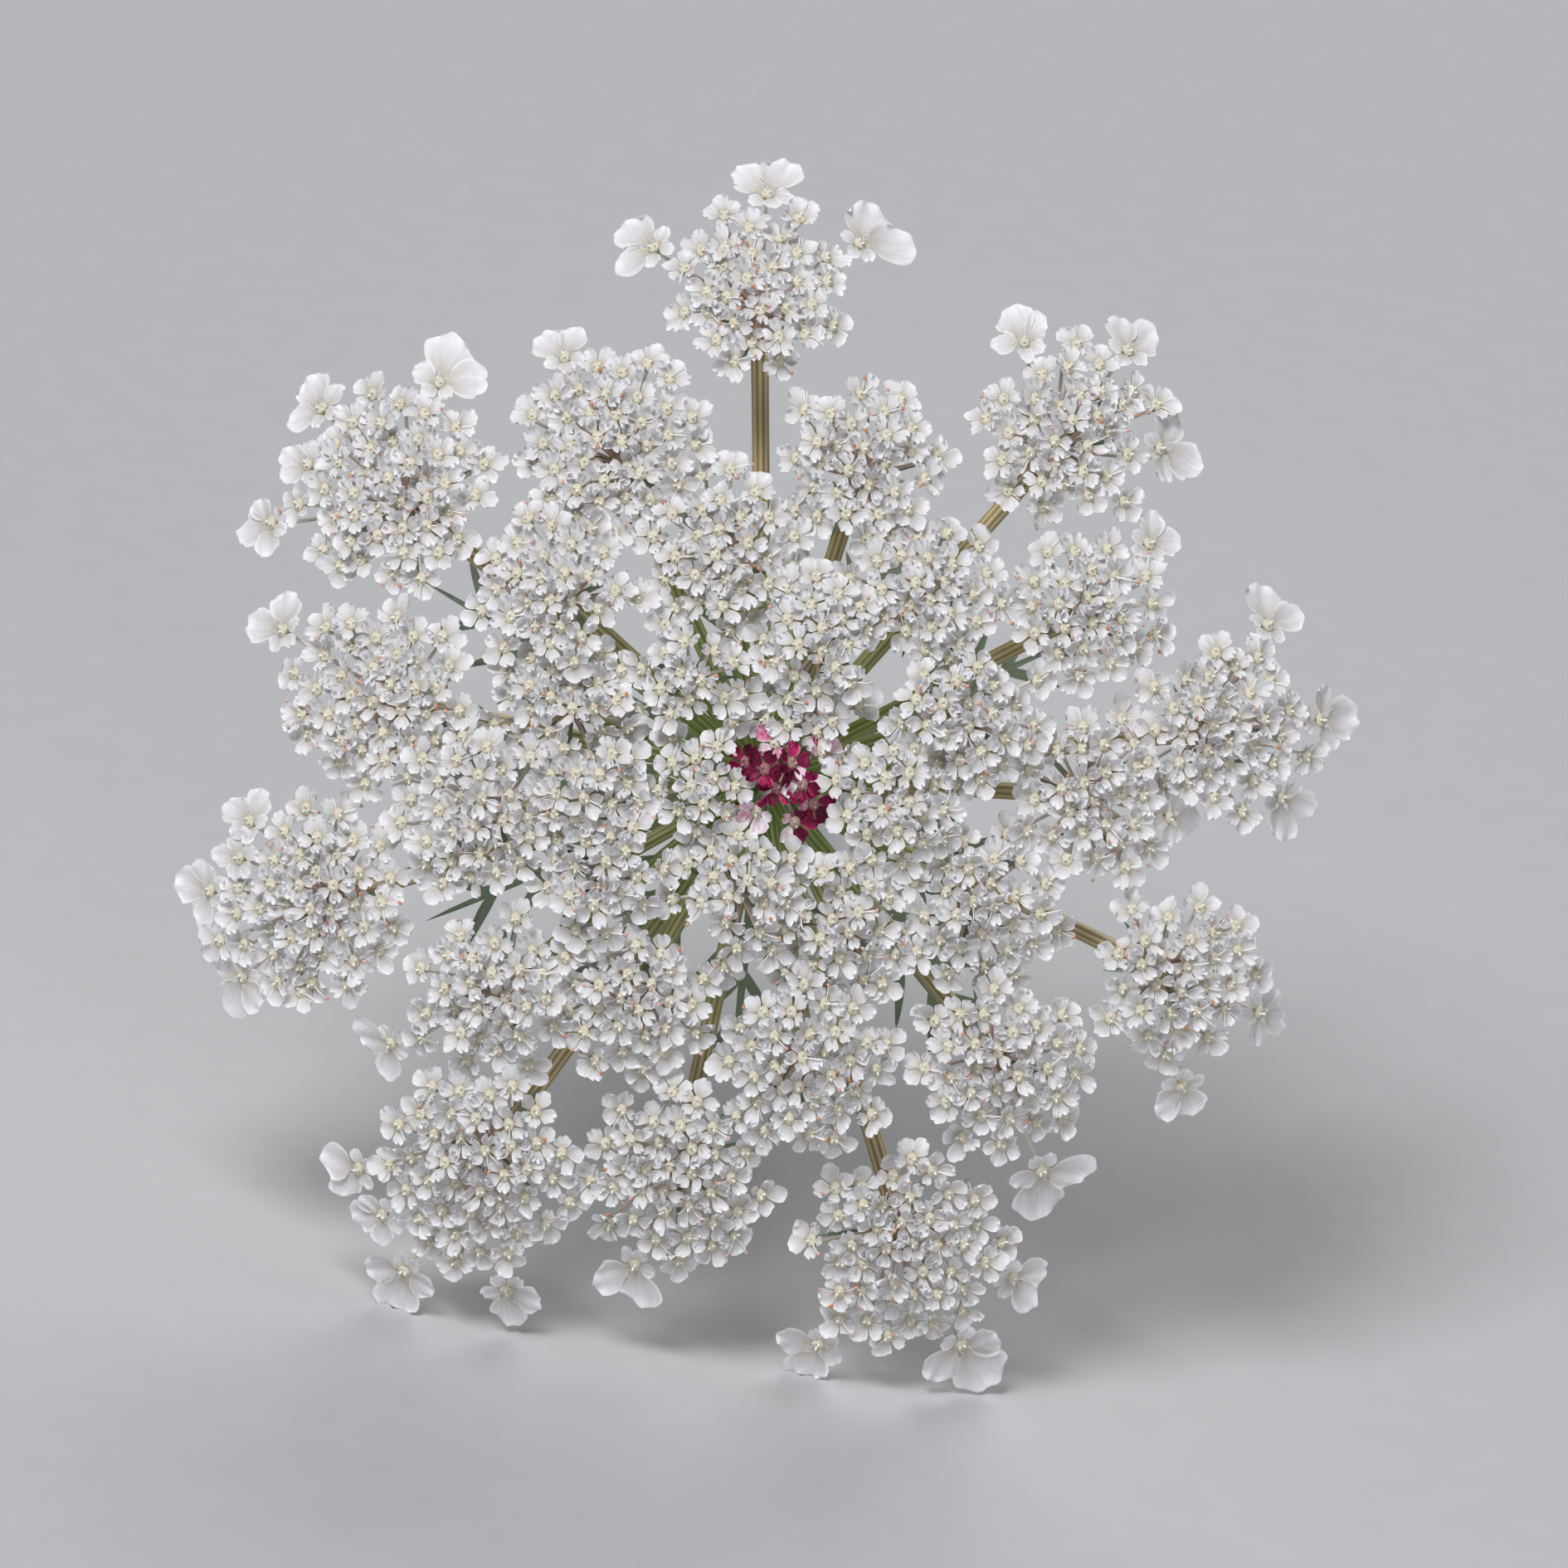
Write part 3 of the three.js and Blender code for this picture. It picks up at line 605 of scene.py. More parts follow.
# The crimson umbellet's florets: x, y, crimson petals, and the middle one's direction in degrees.
CRIMSON_FLORETS = np.array([
    (1.0, -0.8, 5, 100), (-1.4, 1.1, 5, 130), (0.1, 0.6, 5, 60), (2.2, 1.1, 4, 80),
    (2.9, -0.5, 4, -20), (3.8, -2.0, 4, -40), (2.4, -3.4, 3, 10), (0.9, 2.6, 0, 0),
    (4.4, 1.9, 1, 100), (-0.5, -2.6, 1, 60),
])

rim_spot, rim_longest = RIM_FLORETS[:, :2], RIM_FLORETS[:, 2]
rim_away = np.linalg.norm(rim_spot[:, None] - umbellet_spot[:CRIMSON], axis=-1)
rim_owner = (rim_away - umbellet_radius[:CRIMSON]).argmin(axis=1)
rim_outward = unit(rim_spot - umbellet_spot[rim_owner])
rim_room_spot = rim_spot + rim_outward * ((rim_longest - PETAL_REACH) / 2)[:, None]
spots = [rim_room_spot, CRIMSON_FLORETS[:, :2]]
owners = [rim_owner, np.full(len(CRIMSON_FLORETS), CRIMSON)]
crimson_room = FLORET_SPACING / 2 + 0.09 * CRIMSON_FLORETS[:, 2]
rooms = [(rim_longest + PETAL_REACH) / 2, crimson_room]
full = np.linalg.norm(umbellet_spot, axis=1) / FULL_WITHIN
floret_reach = umbellet_radius - FLORET_INSET * FLORET_SPACING * np.clip(1.5 * full - 0.5, -0.2, 1)
pitch = SPIRAL_PITCH * FLORET_SPACING
for index in range(CRIMSON):
    order = np.arange(max(3, int((floret_reach[index] / pitch) ** 2 + 0.5)))
    bearing = GOLDEN_ANGLE * order + index
    ring = np.stack([np.cos(bearing), np.sin(bearing)], axis=-1)
    way_out = ((order + 0.5) / len(order)) ** CROWDING
    spots.append(umbellet_spot[index] + floret_reach[index] * way_out[:, None] * ring)
    owners.append(np.full(len(order), index))
    rooms.append(FLORET_SPACING / 2 * (MIDDLE_ROOM + (1 - MIDDLE_ROOM) * way_out))
spot, owner, room = np.concatenate(spots), np.concatenate(owners), np.concatenate(rooms)
fixed = np.arange(len(spot)) < len(RIM_FLORETS) + len(CRIMSON_FLORETS)
limit = (floret_reach[owner] + STRAY * (1 + 2 * (full[owner] < 0.5)))[:, None]
for _ in range(SETTLING_ROUNDS):
    apart = spot[:, None] - spot
    distance = np.linalg.norm(apart, axis=-1) + np.eye(len(spot))
    needed = (room[:, None] + room) * np.where(owner[:, None] == owner, 1.0, OVERLAP)
    missing = np.clip(needed - distance, 0, None) * (1 - np.eye(len(spot)))
    push = (apart * (PUSH * missing / distance)[..., None]).sum(axis=1)
    clear = spot[:, None] - GAPS[:, :2]
    gap_distance = np.linalg.norm(clear, axis=-1) + 0.01
    inside = np.clip(GAPS[:, 2] + GAP_ROOM - gap_distance, 0, None)
    push = push + (clear * (GAP_PUSH * inside / gap_distance)[..., None]).sum(axis=1)
    from_hub = spot + push - umbellet_spot[owner]
    held = from_hub * np.minimum(1, limit / np.linalg.norm(from_hub, axis=-1, keepdims=True))
    spot = np.where(fixed[:, None], spot, umbellet_spot[owner] + held)
cell = ((spot[:, None] - umbellet_spot) ** 2).sum(axis=-1) - umbellet_radius**2
own_cell = cell[np.arange(len(spot)), owner]
kept = fixed | (own_cell <= cell.min(axis=1) + CELL_OVERLAP)
spot[:len(RIM_FLORETS)] = rim_spot
spot, owner = spot[kept], owner[kept]
floret_draw = np.random.default_rng(5)
showy = np.arange(len(spot)) < len(RIM_FLORETS)
red = (np.arange(len(spot)) >= len(RIM_FLORETS)) & (owner == CRIMSON)
spot = spot + floret_draw.normal(0, DRIFT, spot.shape) * ~(showy | red)[:, None]

# A floret stands on both domes and faces square to them, a little out of true.
from_hub = spot - umbellet_spot[owner]
outwardness = np.linalg.norm(from_hub, axis=-1) / umbellet_radius[owner]
uneven = floret_draw.uniform(-UNEVEN, UNEVEN, len(spot)) * ~showy
fall = UMBELLET_BULGE * outwardness**2 + umbellet_sink[owner] - uneven
floret_place = np.column_stack([spot, dome_height(spot) - fall])
lean_out = dome_slope * spot + (2 * UMBELLET_BULGE / umbellet_radius[owner] ** 2)[:, None] * from_hub
lean_out = lean_out + floret_draw.normal(0, TILT, (len(spot), 2)) * ~showy[:, None]
floret_up = unit(np.column_stack([lean_out, np.ones(len(spot))]))
floret_right = unit(np.cross([0.0, 1.0, 0.0], floret_up))
floret_ahead = np.cross(floret_up, floret_right)
outward_angle = np.arctan2(from_hub[:, 1], from_hub[:, 0])
facing = floret_draw.uniform(0, 2 * math.pi, len(spot))
facing[showy] = np.radians(RIM_FLORETS[:, 3])
facing[red] = np.radians(CRIMSON_FLORETS[:, 3])

# ---- Petals ----
# Five petals to a floret: a thin, waxy white blade on a narrow claw, broadest near its end, where
# it is notched and a small tip curls back in. Towards the rim of an umbellet they open flatter,
# rounder and larger, and at the rim of the umbel the outer ones are showy.
PETALS = 5  # to a floret
PETAL_THICKNESS = 0.06
CLAW_START = 0.36  # claws leave the floret this far from its middle
CLAW_SHARE = 0.17  # width of the claw, as a share of the petal's

petal_white, place = new_material("petal, thin and waxy white")
surface = node(petal_white, "UVMap", uv_map="UVMap")
across = node(petal_white, "SeparateXYZ", {0: surface})
along = across.node.outputs["Y"]
# From the end to the claw the colour greys and darkens, with random blotches. This is partly the
# petal's own cream base and partly painted shade where the claws sit deep in the floret.
blotch = node(petal_white, "TexNoise", {"Vector": place, "Scale": 1 / (0.5 * MM)})
blotch_and_claw_shade = node(petal_white, "Math", {0: blotch, 1: 0.16, 2: along}, operation="MULTIPLY_ADD")
cream_and_painted_shade = node(petal_white, "ValToRGB", {"Fac": blotch_and_claw_shade}, stops=[
    (0.08, "#b7b09a"), (1.0, "#eeeff6"), (0.3, "#cec9c3"), (0.6, "#dfdde1"),
])
# Towards the side edges and the end, the colour is mixed almost to white: a painted highlight on the
# curled edges.
from_midrib = node(petal_white, "Math", {0: across, 1: 0.5}, operation="SUBTRACT")
from_midrib = node(petal_white, "Math", {0: from_midrib}, operation="ABSOLUTE")
to_side = node(petal_white, "Math", {0: from_midrib, 1: 2.0}, operation="MULTIPLY")
to_rim = node(petal_white, "Math", {0: to_side, 1: along}, operation="MAXIMUM")
rim_highlight_share = node(petal_white, "MapRange", {
    "Value": to_rim, "From Min": 0.72, "From Max": 1.0, "To Min": 0.0, "To Max": 0.95,
})
petal_shade_and_highlight = node(petal_white, "Mix", {
    "Factor": rim_highlight_share, "A": cream_and_painted_shade,
    "B": linear("#fcfdff"),
}, data_type="RGBA")
# The veins are streaks along the petal, some 13 across it, that differ from petal to petal.
sideways = node(petal_white, "SeparateXYZ", {0: place})
vein_place = node(petal_white, "CombineXYZ", {
    label: node(petal_white, "Math", {0: value, 1: scale}, operation="MULTIPLY")
    for label, value, scale in (
        ("X", across, 13.0), ("Y", along, 1.6), ("Z", sideways, 1 / (1.5 * MM))
    )
})
veins = node(petal_white, "TexNoise", {"Vector": vein_place, "Scale": 1.0})
vein_shade = node(petal_white, "ValToRGB", {"Fac": veins}, stops=[
    (0.36, "#f6f5f5"), (0.6, "#ffffff"),
])
petal_tone = node(petal_white, "Mix", {
    "Factor": 1.0, "A": petal_shade_and_highlight, "B": vein_shade,
}, data_type="RGBA", blend_type="MULTIPLY")
papillae = node(petal_white, "TexNoise", {"Vector": place, "Scale": 1 / (0.25 * MM), "Detail": 4.0})
petal_bump = node(petal_white, "Bump", {"Height": papillae, "Strength": 0.5, "Distance": 0.07 * MM})
coat(
    petal_white, Base_Color=petal_tone, Normal=petal_bump, Roughness=0.5, Specular_IOR_Level=0.35,
    Subsurface_Weight=0.25, Subsurface_Radius=(1.0, 0.95, 0.92), Subsurface_Scale=0.3 * MM,
)


def petal_sheets(rows, columns, form):
    """Points of petals, as (count, rows + 1, columns + 1, 3): first outward from the claw, then
    sideways, then up. v runs from claw to end and u from side to side. The half width swells from
    the claw along an arc of a circle, and the end is rounded by |u| and notched at the middle.
    The blade rises and bends with v squared, its sides cup up with u squared, the tongue in the
    notch stands up, and the whole twists about its own length."""
    v, u = sheet_grid(rows + 1, columns + 1)
    f = {label: np.asarray(values)[:, None, None] for label, values in form.items()}
    swell = CLAW_SHARE + (1 - CLAW_SHARE) * np.sqrt(np.clip(1 - ((v - 0.66) / 0.54) ** 2, 0, 1))
    across = u * f["half"] * swell * (1 - f["uneven"] * u * v)
    middle = np.exp(-((u / 0.26) ** 2))
    shorter = f["round"] * np.abs(u) ** 2.2 + f["notch"] * middle + f["uneven"] * u
    along = f["length"] * v * (1 - v**2 * shorter)
    lift = f["rise"] * v + f["bend"] * v**2 + f["tongue"] * middle * v**6
    ripple = f["wave"] * np.sin(2.2 * math.pi * u + f["phase"]) * v**2
    groove = -0.07 * np.exp(-((u / 0.3) ** 2)) * np.sin(math.pi * v)
    height = f["length"] * lift + f["half"] * (f["cup"] * u**2 * v**0.7 + ripple + groove)
    turn = f["twist"] * v
    skewed = across * np.cos(turn) - height * np.sin(turn) + f["skew"] * f["length"] * v**2
    return np.stack([along, skewed, height * np.cos(turn) + across * np.sin(turn)], axis=-1)


def petal_angles(chosen):
    """Directions of the chosen florets' petals in turn."""
    return (facing[chosen][:, None] + around(PETALS)).ravel()


def away(of, angle):
    """Unit vectors in the planes of the florets, away from their middles at the angles."""
    return np.cos(angle)[:, None] * floret_right[of] + np.sin(angle)[:, None] * floret_ahead[of]


def petals_of(chosen, rows, columns, draw, length, form):
    """Closed petals of the chosen florets, five to each, with a uv for each point. length holds
    each petal's reach from the floret's middle, and form the rest, as petal_sheets has it."""
    angle = petal_angles(chosen)
    angle = angle + draw.normal(0, 0.07, angle.size)
    of = np.repeat(chosen, PETALS)
    out = away(of, angle)
    side = np.cross(floret_up[of], out)
    sheets = petal_sheets(rows, columns, {"length": length - CLAW_START, **form})
    lift = draw.uniform(-0.03, 0.05, angle.size)[:, None]
    root = floret_place[of] + CLAW_START * out + (lift - 0.1) * floret_up[of]
    axes = np.stack([out, side, floret_up[of]], axis=1)
    placed = root[:, None, None] + np.einsum("prcs,psd->prcd", sheets, axes)
    v, u = np.meshgrid(np.linspace(0, 1, rows + 1), np.linspace(0, 1, columns + 1), indexing="ij")
    uv = np.broadcast_to(np.stack([u, v], axis=-1), (*placed.shape[:3], 2))
    return closed_blades(placed, PETAL_THICKNESS, -floret_up[of]), blade_values(uv)


def outward_share(chosen):
    """1 for a petal that points out of its umbellet, down to -1 for one that points in."""
    return np.cos(petal_angles(chosen) - np.repeat(outward_angle[chosen], PETALS))


def small_petals(chosen, draw):
    """Petals of ordinary florets: crumpled and cupped in an umbellet's middle, flatter, rounder
    and longer outward towards its edge."""
    count = PETALS * len(chosen)
    edge = np.repeat(np.clip(outwardness[chosen], 0, 1.1), PETALS)
    outer = edge**2 * outward_share(chosen)
    length = PETAL_REACH * (1 + 0.25 * outer) * draw.uniform(0.88, 1.08, count)
    crumple = np.clip(1.1 - 0.9 * edge - 0.35 * outer + draw.normal(0, 0.22, count), 0, 1.3)
    form = {
        "half": 0.585 * (1 + 0.32 * outer) * draw.uniform(0.88, 1.1, count) * (1.05 - 0.16 * crumple),
        "round": 0.36 - 0.1 * crumple,
        "notch": 0.08 + 0.34 * crumple,
        "uneven": draw.normal(0, 0.08, count),
        "rise": 0.08 + 0.17 * crumple + draw.normal(0, 0.12, count),
        "bend": -0.04 + 0.08 * crumple + draw.normal(0, 0.07, count),
        "tongue": 0.12 + 0.4 * crumple,
        "cup": 0.4 + 0.35 * crumple,
        "wave": 0.04 + 0.06 * crumple,
        "phase": draw.uniform(0, 2 * math.pi, count),
        "twist": draw.normal(0, 0.2 + 0.15 * crumple),
        "skew": draw.normal(0, 0.06, count),
    }
    return petals_of(chosen, 5, 6, draw, length, form)


petal_draw = np.random.default_rng(23)
PETAL_GROUPS = {
    "petals_outer_right": range(0, 7), "petals_outer_left": range(7, 14),
    "petals_inner_upper": range(14, 21), "petals_inner_lower": range(21, CRIMSON),
}
for name, group in PETAL_GROUPS.items():
    chosen = np.flatnonzero(np.isin(owner, list(group)) & ~showy)
    shape, uv = small_petals(chosen, petal_draw)
    new_piece(name, shape, petal_white, "petals", [umbellet_names[k] for k in group], uv=uv)

# Showy florets: outward petals lengthen to the longest, with broad, gently waved blades.
chosen = np.flatnonzero(showy)
count = PETALS * len(chosen)
outer = np.clip(outward_share(chosen), 0, None) ** 0.5
short = 1.05 * PETAL_REACH
longest = RIM_STRETCH * np.repeat(rim_longest, PETALS)
length = (short + (longest - short) * outer) * petal_draw.uniform(0.98, 1.08, count)
form = {
    "half": 0.49 * (length - CLAW_START) * petal_draw.uniform(0.88, 1.1, count),
    "round": petal_draw.uniform(0.28, 0.36, count),
    "notch": petal_draw.uniform(0.0, 0.14, count),
    "uneven": petal_draw.normal(0, 0.16, count),
    "rise": petal_draw.uniform(0.0, 0.1, count),
    "bend": petal_draw.uniform(-0.08, 0.02, count),
    "tongue": petal_draw.uniform(0.02, 0.12, count),
    "cup": petal_draw.uniform(0.05, 0.22, count),
    "wave": petal_draw.uniform(0.05, 0.13, count),
    "phase": petal_draw.uniform(0, 2 * math.pi, count),
    "twist": petal_draw.normal(0, 0.12, count),
    "skew": petal_draw.normal(0, 0.05, count),
}
shape, uv = petals_of(chosen, 9, 10, petal_draw, length, form)
new_piece("petals_showy", shape, petal_white, "petals",
          [umbellet_names[k] for k in sorted(set(rim_owner))], uv=uv)

# ---- Crimson petals ----
# The middle umbellet's florets: the same petals, stained deep crimson by sap that is missing from
# the white ones. Three florets are crimson all over, and the rest part crimson, part pink.
petal_crimson, place = new_material("petal, crimson and velvety")
stain = node(petal_crimson, "Attribute", attribute_name="stain")
streaks = node(petal_crimson, "TexNoise", {
    "Vector": place, "Scale": 1 / (0.35 * MM), "Detail": 3.0,
})
stained = node(petal_crimson, "Math", {0: streaks, 1: 0.6, 2: stain}, operation="MULTIPLY_ADD")
red_colour = node(petal_crimson, "ValToRGB", {"Fac": stained}, stops=[
    (0.2, "#efecef"), (1.0, "#5c0630"), (0.42, "#e6b6cd"), (0.68, "#c4246f"), (0.84, "#900a48"),
])
coat(
    petal_crimson, Base_Color=red_colour, Roughness=0.55, Specular_IOR_Level=0.3,
    Subsurface_Weight=0.1, Subsurface_Scale=0.3 * MM,
)

chosen = np.flatnonzero(red)
shape, uv = small_petals(chosen, petal_draw)
# Each floret's petals by their turns from the first, nearest turns first.
nearness = np.tile([0, 1, 3, 4, 2], len(chosen))
deep = nearness < np.repeat(CRIMSON_FLORETS[:, 2], PETALS)
deep_dose = petal_draw.uniform(0.45, 0.8, deep.size)
dose = np.where(deep, deep_dose, petal_draw.uniform(-0.1, 0.25, deep.size))
points_each = len(uv) // deep.size
# Each petal's stain is its dose, less 0.2 along its side edges, where the crimson turns lighter. This
# is partly a paler margin and partly a painted highlight.
new_piece("petals_crimson", shape, petal_crimson, "crimson_petals", ["crimson_umbellet"], uv=uv,
          stain=np.repeat(dose, points_each) - 0.2 * (np.abs(2 * uv[:, 0] - 1) > 0.9))

# ---- Floret hearts ----
# In each floret's middle sits a cream nectar cushion in two halves, on the bristly green ovary
# that becomes the seed. The petals' claws rise round it.
# Height above the floret's plane and radius, from the cushion's top down to the pedicel.
HEART_PROFILE = np.array([
    (0.1, 0.18), (0.06, 0.42), (-0.1, 0.52), (-0.3, 0.40), (-0.7, 0.30), (-1.0, 0.14),
])
HEART_SIDES = 8

heart_skin, place = new_material("nectar cushion, cream over green ovary")
level = node(heart_skin, "Attribute", attribute_name="level")
spots_noise = node(heart_skin, "TexNoise", {"Vector": place, "Scale": 1 / (3 * MM)})
heart_tone = node(heart_skin, "Math", {0: spots_noise, 1: 0.3, 2: level}, operation="MULTIPLY_ADD")
heart_colour = node(heart_skin, "ValToRGB", {"Fac": heart_tone}, stops=[
    (0.2, "#a8a580"), (1.0, "#dcd5c2"), (0.6, "#cec7ad"), (0.88, "#d1c9b0"),
])
glands = node(heart_skin, "TexNoise", {"Vector": place, "Scale": 1 / (0.16 * MM)})
heart_bump = node(heart_skin, "Bump", {"Height": glands, "Strength": 0.8, "Distance": 0.15 * MM})
flush_share = node(heart_skin, "Attribute", attribute_name="flushed")
flushed_heart = node(heart_skin, "Mix", {
    "Factor": flush_share, "A": heart_colour, "B": linear("#8a3048"),
}, data_type="RGBA")
coat(
    heart_skin, Base_Color=flushed_heart, Normal=heart_bump, Roughness=0.5, Subsurface_Weight=0.15,
    Subsurface_Scale=0.3 * MM,
)

count = len(spot)
heart_path = floret_place[:, None] + HEART_PROFILE[None, :, :1] * floret_up[:, None]
heart_path = heart_path[:, ::-1]
lobed = 1 + 0.14 * np.cos(2 * around(HEART_SIDES))
heart_radii = np.broadcast_to(
    HEART_PROFILE[None, ::-1, 1:] * lobed, (count, len(HEART_PROFILE), HEART_SIDES)
)
heart_shape = tubes(heart_path, heart_radii, HEART_SIDES)
heart_level = np.concatenate([
    np.repeat(0.82 * (HEART_PROFILE[::-1, 0] + 1), HEART_SIDES), [0.0, 0.85],
])
crimson_share = np.zeros(count)
crimson_share[red] = 0.16 * CRIMSON_FLORETS[:, 2]
new_piece("hearts", heart_shape, heart_skin, "petals", umbellet_names,
          level=np.tile(heart_level, count), flushed=crimson_share)

# ---- Styles ----
# Two short, pale styles stand on each cushion and lean apart, with blunt, sticky ends.
STYLE_LENGTH = 0.4
STYLE_RADIUS = 0.115

style_flesh, place = new_material("style, pale and sticky")
style_noise = node(style_flesh, "TexNoise", {"Vector": place, "Scale": 1 / MM})
style_colour = node(style_flesh, "ValToRGB", {"Fac": style_noise}, stops=[
    (0.3, "#f0ecd9"), (0.7, "#faf8ee"),
])
flush_share = node(style_flesh, "Attribute", attribute_name="flushed")
flushed_style = node(style_flesh, "Mix", {
    "Factor": flush_share, "A": style_colour, "B": linear("#b05a78"),
}, data_type="RGBA")
coat(style_flesh, Base_Color=flushed_style, Roughness=0.3)

style_draw = np.random.default_rng(31)
style_turn = style_draw.uniform(0, math.pi, count)
style_lean = away(slice(None), style_turn)
style_lean = np.concatenate([style_lean, -style_lean])
style_up = np.tile(floret_up, (2, 1))
style_root = np.tile(floret_place, (2, 1)) - 0.02 * style_up + 0.08 * style_lean
step = np.array([0, 0.75, 1.0])[None, :, None] * STYLE_LENGTH
style_path = style_root[:, None] + step * (style_up + 0.45 * style_lean)[:, None]
style_radii = np.tile(STYLE_RADIUS * np.array([0.9, 1.0, 0.4]), (2 * count, 1))
style_shape = tubes(style_path, style_radii, 5)
new_piece("styles", style_shape, style_flesh, "petals", umbellet_names,
          flushed=np.tile(crimson_share, 2))

# ---- Stamens ----
# Stamens grow between the petals and most have dropped. Those left are white threads that arch over
# the petals, about half with a pink or orange anther.
STAMEN_CHANCE = 0.2
ANTHER_CHANCE = 0.5  # on a filament that still stands
FILAMENT_LENGTH = (0.8, 1.6)
FILAMENT_RADIUS = 0.05
ANTHER_LENGTH = 0.4
ANTHER_RADIUS = 0.16

filament_flesh, place = new_material("filament, white thread")
thread_noise = node(filament_flesh, "TexNoise", {"Vector": place, "Scale": 1 / MM})
thread_colour = node(filament_flesh, "ValToRGB", {"Fac": thread_noise},
                     stops=[(0.3, "#e7e4e2"), (0.7, "#f7f7f7")])
coat(filament_flesh, Base_Color=thread_colour, Roughness=0.4)

anther_dust, place = new_material("anther, dusty pink to orange")
ripeness = node(anther_dust, "Attribute", attribute_name="ripeness")
dust = node(anther_dust, "TexNoise", {"Vector": place, "Scale": 1 / (0.15 * MM)})
dusty = node(anther_dust, "Math", {0: dust, 1: 0.2, 2: ripeness}, operation="MULTIPLY_ADD")
anther_colour = node(anther_dust, "ValToRGB", {"Fac": dusty}, stops=[
    (0.1, "#e2c2ba"), (1.0, "#cc8d62"), (0.5, "#dcb0a4"), (0.85, "#dba684"),
])
coat(anther_dust, Base_Color=anther_colour, Roughness=0.8)

stamen_draw = np.random.default_rng(47)
of, slot_number = np.nonzero(stamen_draw.random((count, 5)) < STAMEN_CHANCE * ~(showy | red)[:, None])
stamens = len(of)
angle = facing[of] + (slot_number + 0.5) * 2 * math.pi / 5 + stamen_draw.normal(0, 0.2, stamens)
out = away(of, angle)
long = stamen_draw.uniform(*FILAMENT_LENGTH, stamens)[:, None, None]
s = np.linspace(0, 1, 4)[None, :, None]
stand = stamen_draw.uniform(0.35, 0.9, stamens)[:, None, None]
filament_path = (
    floret_place[of][:, None] + 0.3 * out[:, None]
    + long * (s * 0.9 * out[:, None] + (stand * s - 0.35 * s**2) * floret_up[of][:, None])
)
filament_radii = np.full((stamens, 4), FILAMENT_RADIUS)
new_piece("filaments", tubes(filament_path, filament_radii, 3), filament_flesh, "petals",
          umbellet_names)
loaded = stamen_draw.random(stamens) < ANTHER_CHANCE
anther_axis = unit(stamen_draw.normal(0, 1, (loaded.sum(), 3)) + floret_up[of][loaded] * 0.3)
anther_shape = balls(filament_path[loaded, -1], anther_axis, ANTHER_LENGTH / 2, ANTHER_RADIUS, 5, 5)
new_piece("anthers", anther_shape, anther_dust, "petals", umbellet_names,
          ripeness=stamen_draw.random(loaded.sum()))

# ---- Pedicels and hubs ----
# Every floret stands on its own thread-like pedicel. The pedicels of an umbellet fan out from its
# hub at the end of the ray. They are green at the root and flush pink-brown in the sun.
PEDICEL_RADIUS = 0.15
PEDICEL_TOP = 0.95  # under the floret's plane, inside the ovary
HUB_RADIUS = 0.95

pedicel_skin, place = new_material("pedicel skin, flushed pink-brown")
climb = node(pedicel_skin, "Attribute", attribute_name="climb")
flush_noise = node(pedicel_skin, "TexNoise", {"Vector": place, "Scale": 1 / (2 * MM)})
flush = node(pedicel_skin, "Math", {0: flush_noise, 1: 0.5, 2: climb}, operation="MULTIPLY_ADD")
pedicel_colour = node(pedicel_skin, "ValToRGB", {"Fac": flush}, stops=[
    (0.1, "#c3c493"), (1.0, "#e6dacf"), (0.45, "#dcc4b8"), (0.7, "#e2c9c0"),
])
coat(pedicel_skin, Base_Color=pedicel_colour, Roughness=0.5)

s = np.linspace(0, 1, 4)[None, :, None]
pedicel_foot = hub_place[owner]
pedicel_head = floret_place - PEDICEL_TOP * floret_up
pedicel_bow = 0.12 * np.column_stack([from_hub, np.zeros(count)])
pedicel_bend = (pedicel_foot + pedicel_head) / 2 + pedicel_bow
pedicel_path = bows(pedicel_foot, pedicel_bend, pedicel_head, s)
pedicel_radii = np.full((count, 4), PEDICEL_RADIUS)
pedicel_shape = tubes(pedicel_path, pedicel_radii, 5)
pedicel_climb = np.concatenate([np.repeat(s.ravel(), 5), [0.0, 1.0]])
hub_shape = balls(hub_place, ray_ahead, HUB_RADIUS, HUB_RADIUS, 8, 12)
new_piece(
    "pedicels_and_hubs", joined(pedicel_shape, hub_shape), pedicel_skin, "rays", umbellet_names,
    climb=np.concatenate([np.tile(pedicel_climb, count), np.zeros(len(hub_shape[0]))]),
)

# ---- Bractlets ----
# Under each umbellet a ring of narrow green bractlets leaves the hub, folded along the middle and
# edged with white membrane.
BRACTLETS = 7
BRACTLET_THICKNESS = 0.15
bractlet_draw = np.random.default_rng(59)
of = np.repeat(np.arange(ray_count), BRACTLETS)
angle = np.tile(around(BRACTLETS), ray_count)
angle = angle + of + bractlet_draw.normal(0, 0.2, angle.size)
out = np.column_stack([np.cos(angle), np.sin(angle), 0 * angle])
length = umbellet_radius[of] * bractlet_draw.uniform(0.5, 0.78, angle.size)
v, u = sheet_grid(7, 5)
long = length[:, None, None]
half = 0.3 * np.sqrt(np.clip(1 - v**2, 0.002, 1)) * (0.7 + 0.6 * v * (1 - v))
run = 0.5 + long * v
rise = long * (0.28 * v + 0.1 * v**2) + 0.6 * np.abs(u) * half
side = np.cross([0.0, 0.0, 1.0], out)
bractlet_sheets = (
    hub_place[of][:, None, None] + run[..., None] * out[:, None, None]
    + (u * half)[None, ..., None] * side[:, None, None] + rise[..., None] * [0.0, 0.0, 1.0]
)
bractlet_uv = np.broadcast_to(np.stack([(u + 1) / 2, 0.8 * v], -1), (*bractlet_sheets.shape[:3], 2))
new_piece(
    "bractlets", closed_blades(bractlet_sheets, BRACTLET_THICKNESS, straight_down), bract_leaf,
    "bracts", umbellet_names, uv=blade_values(bractlet_uv),
)

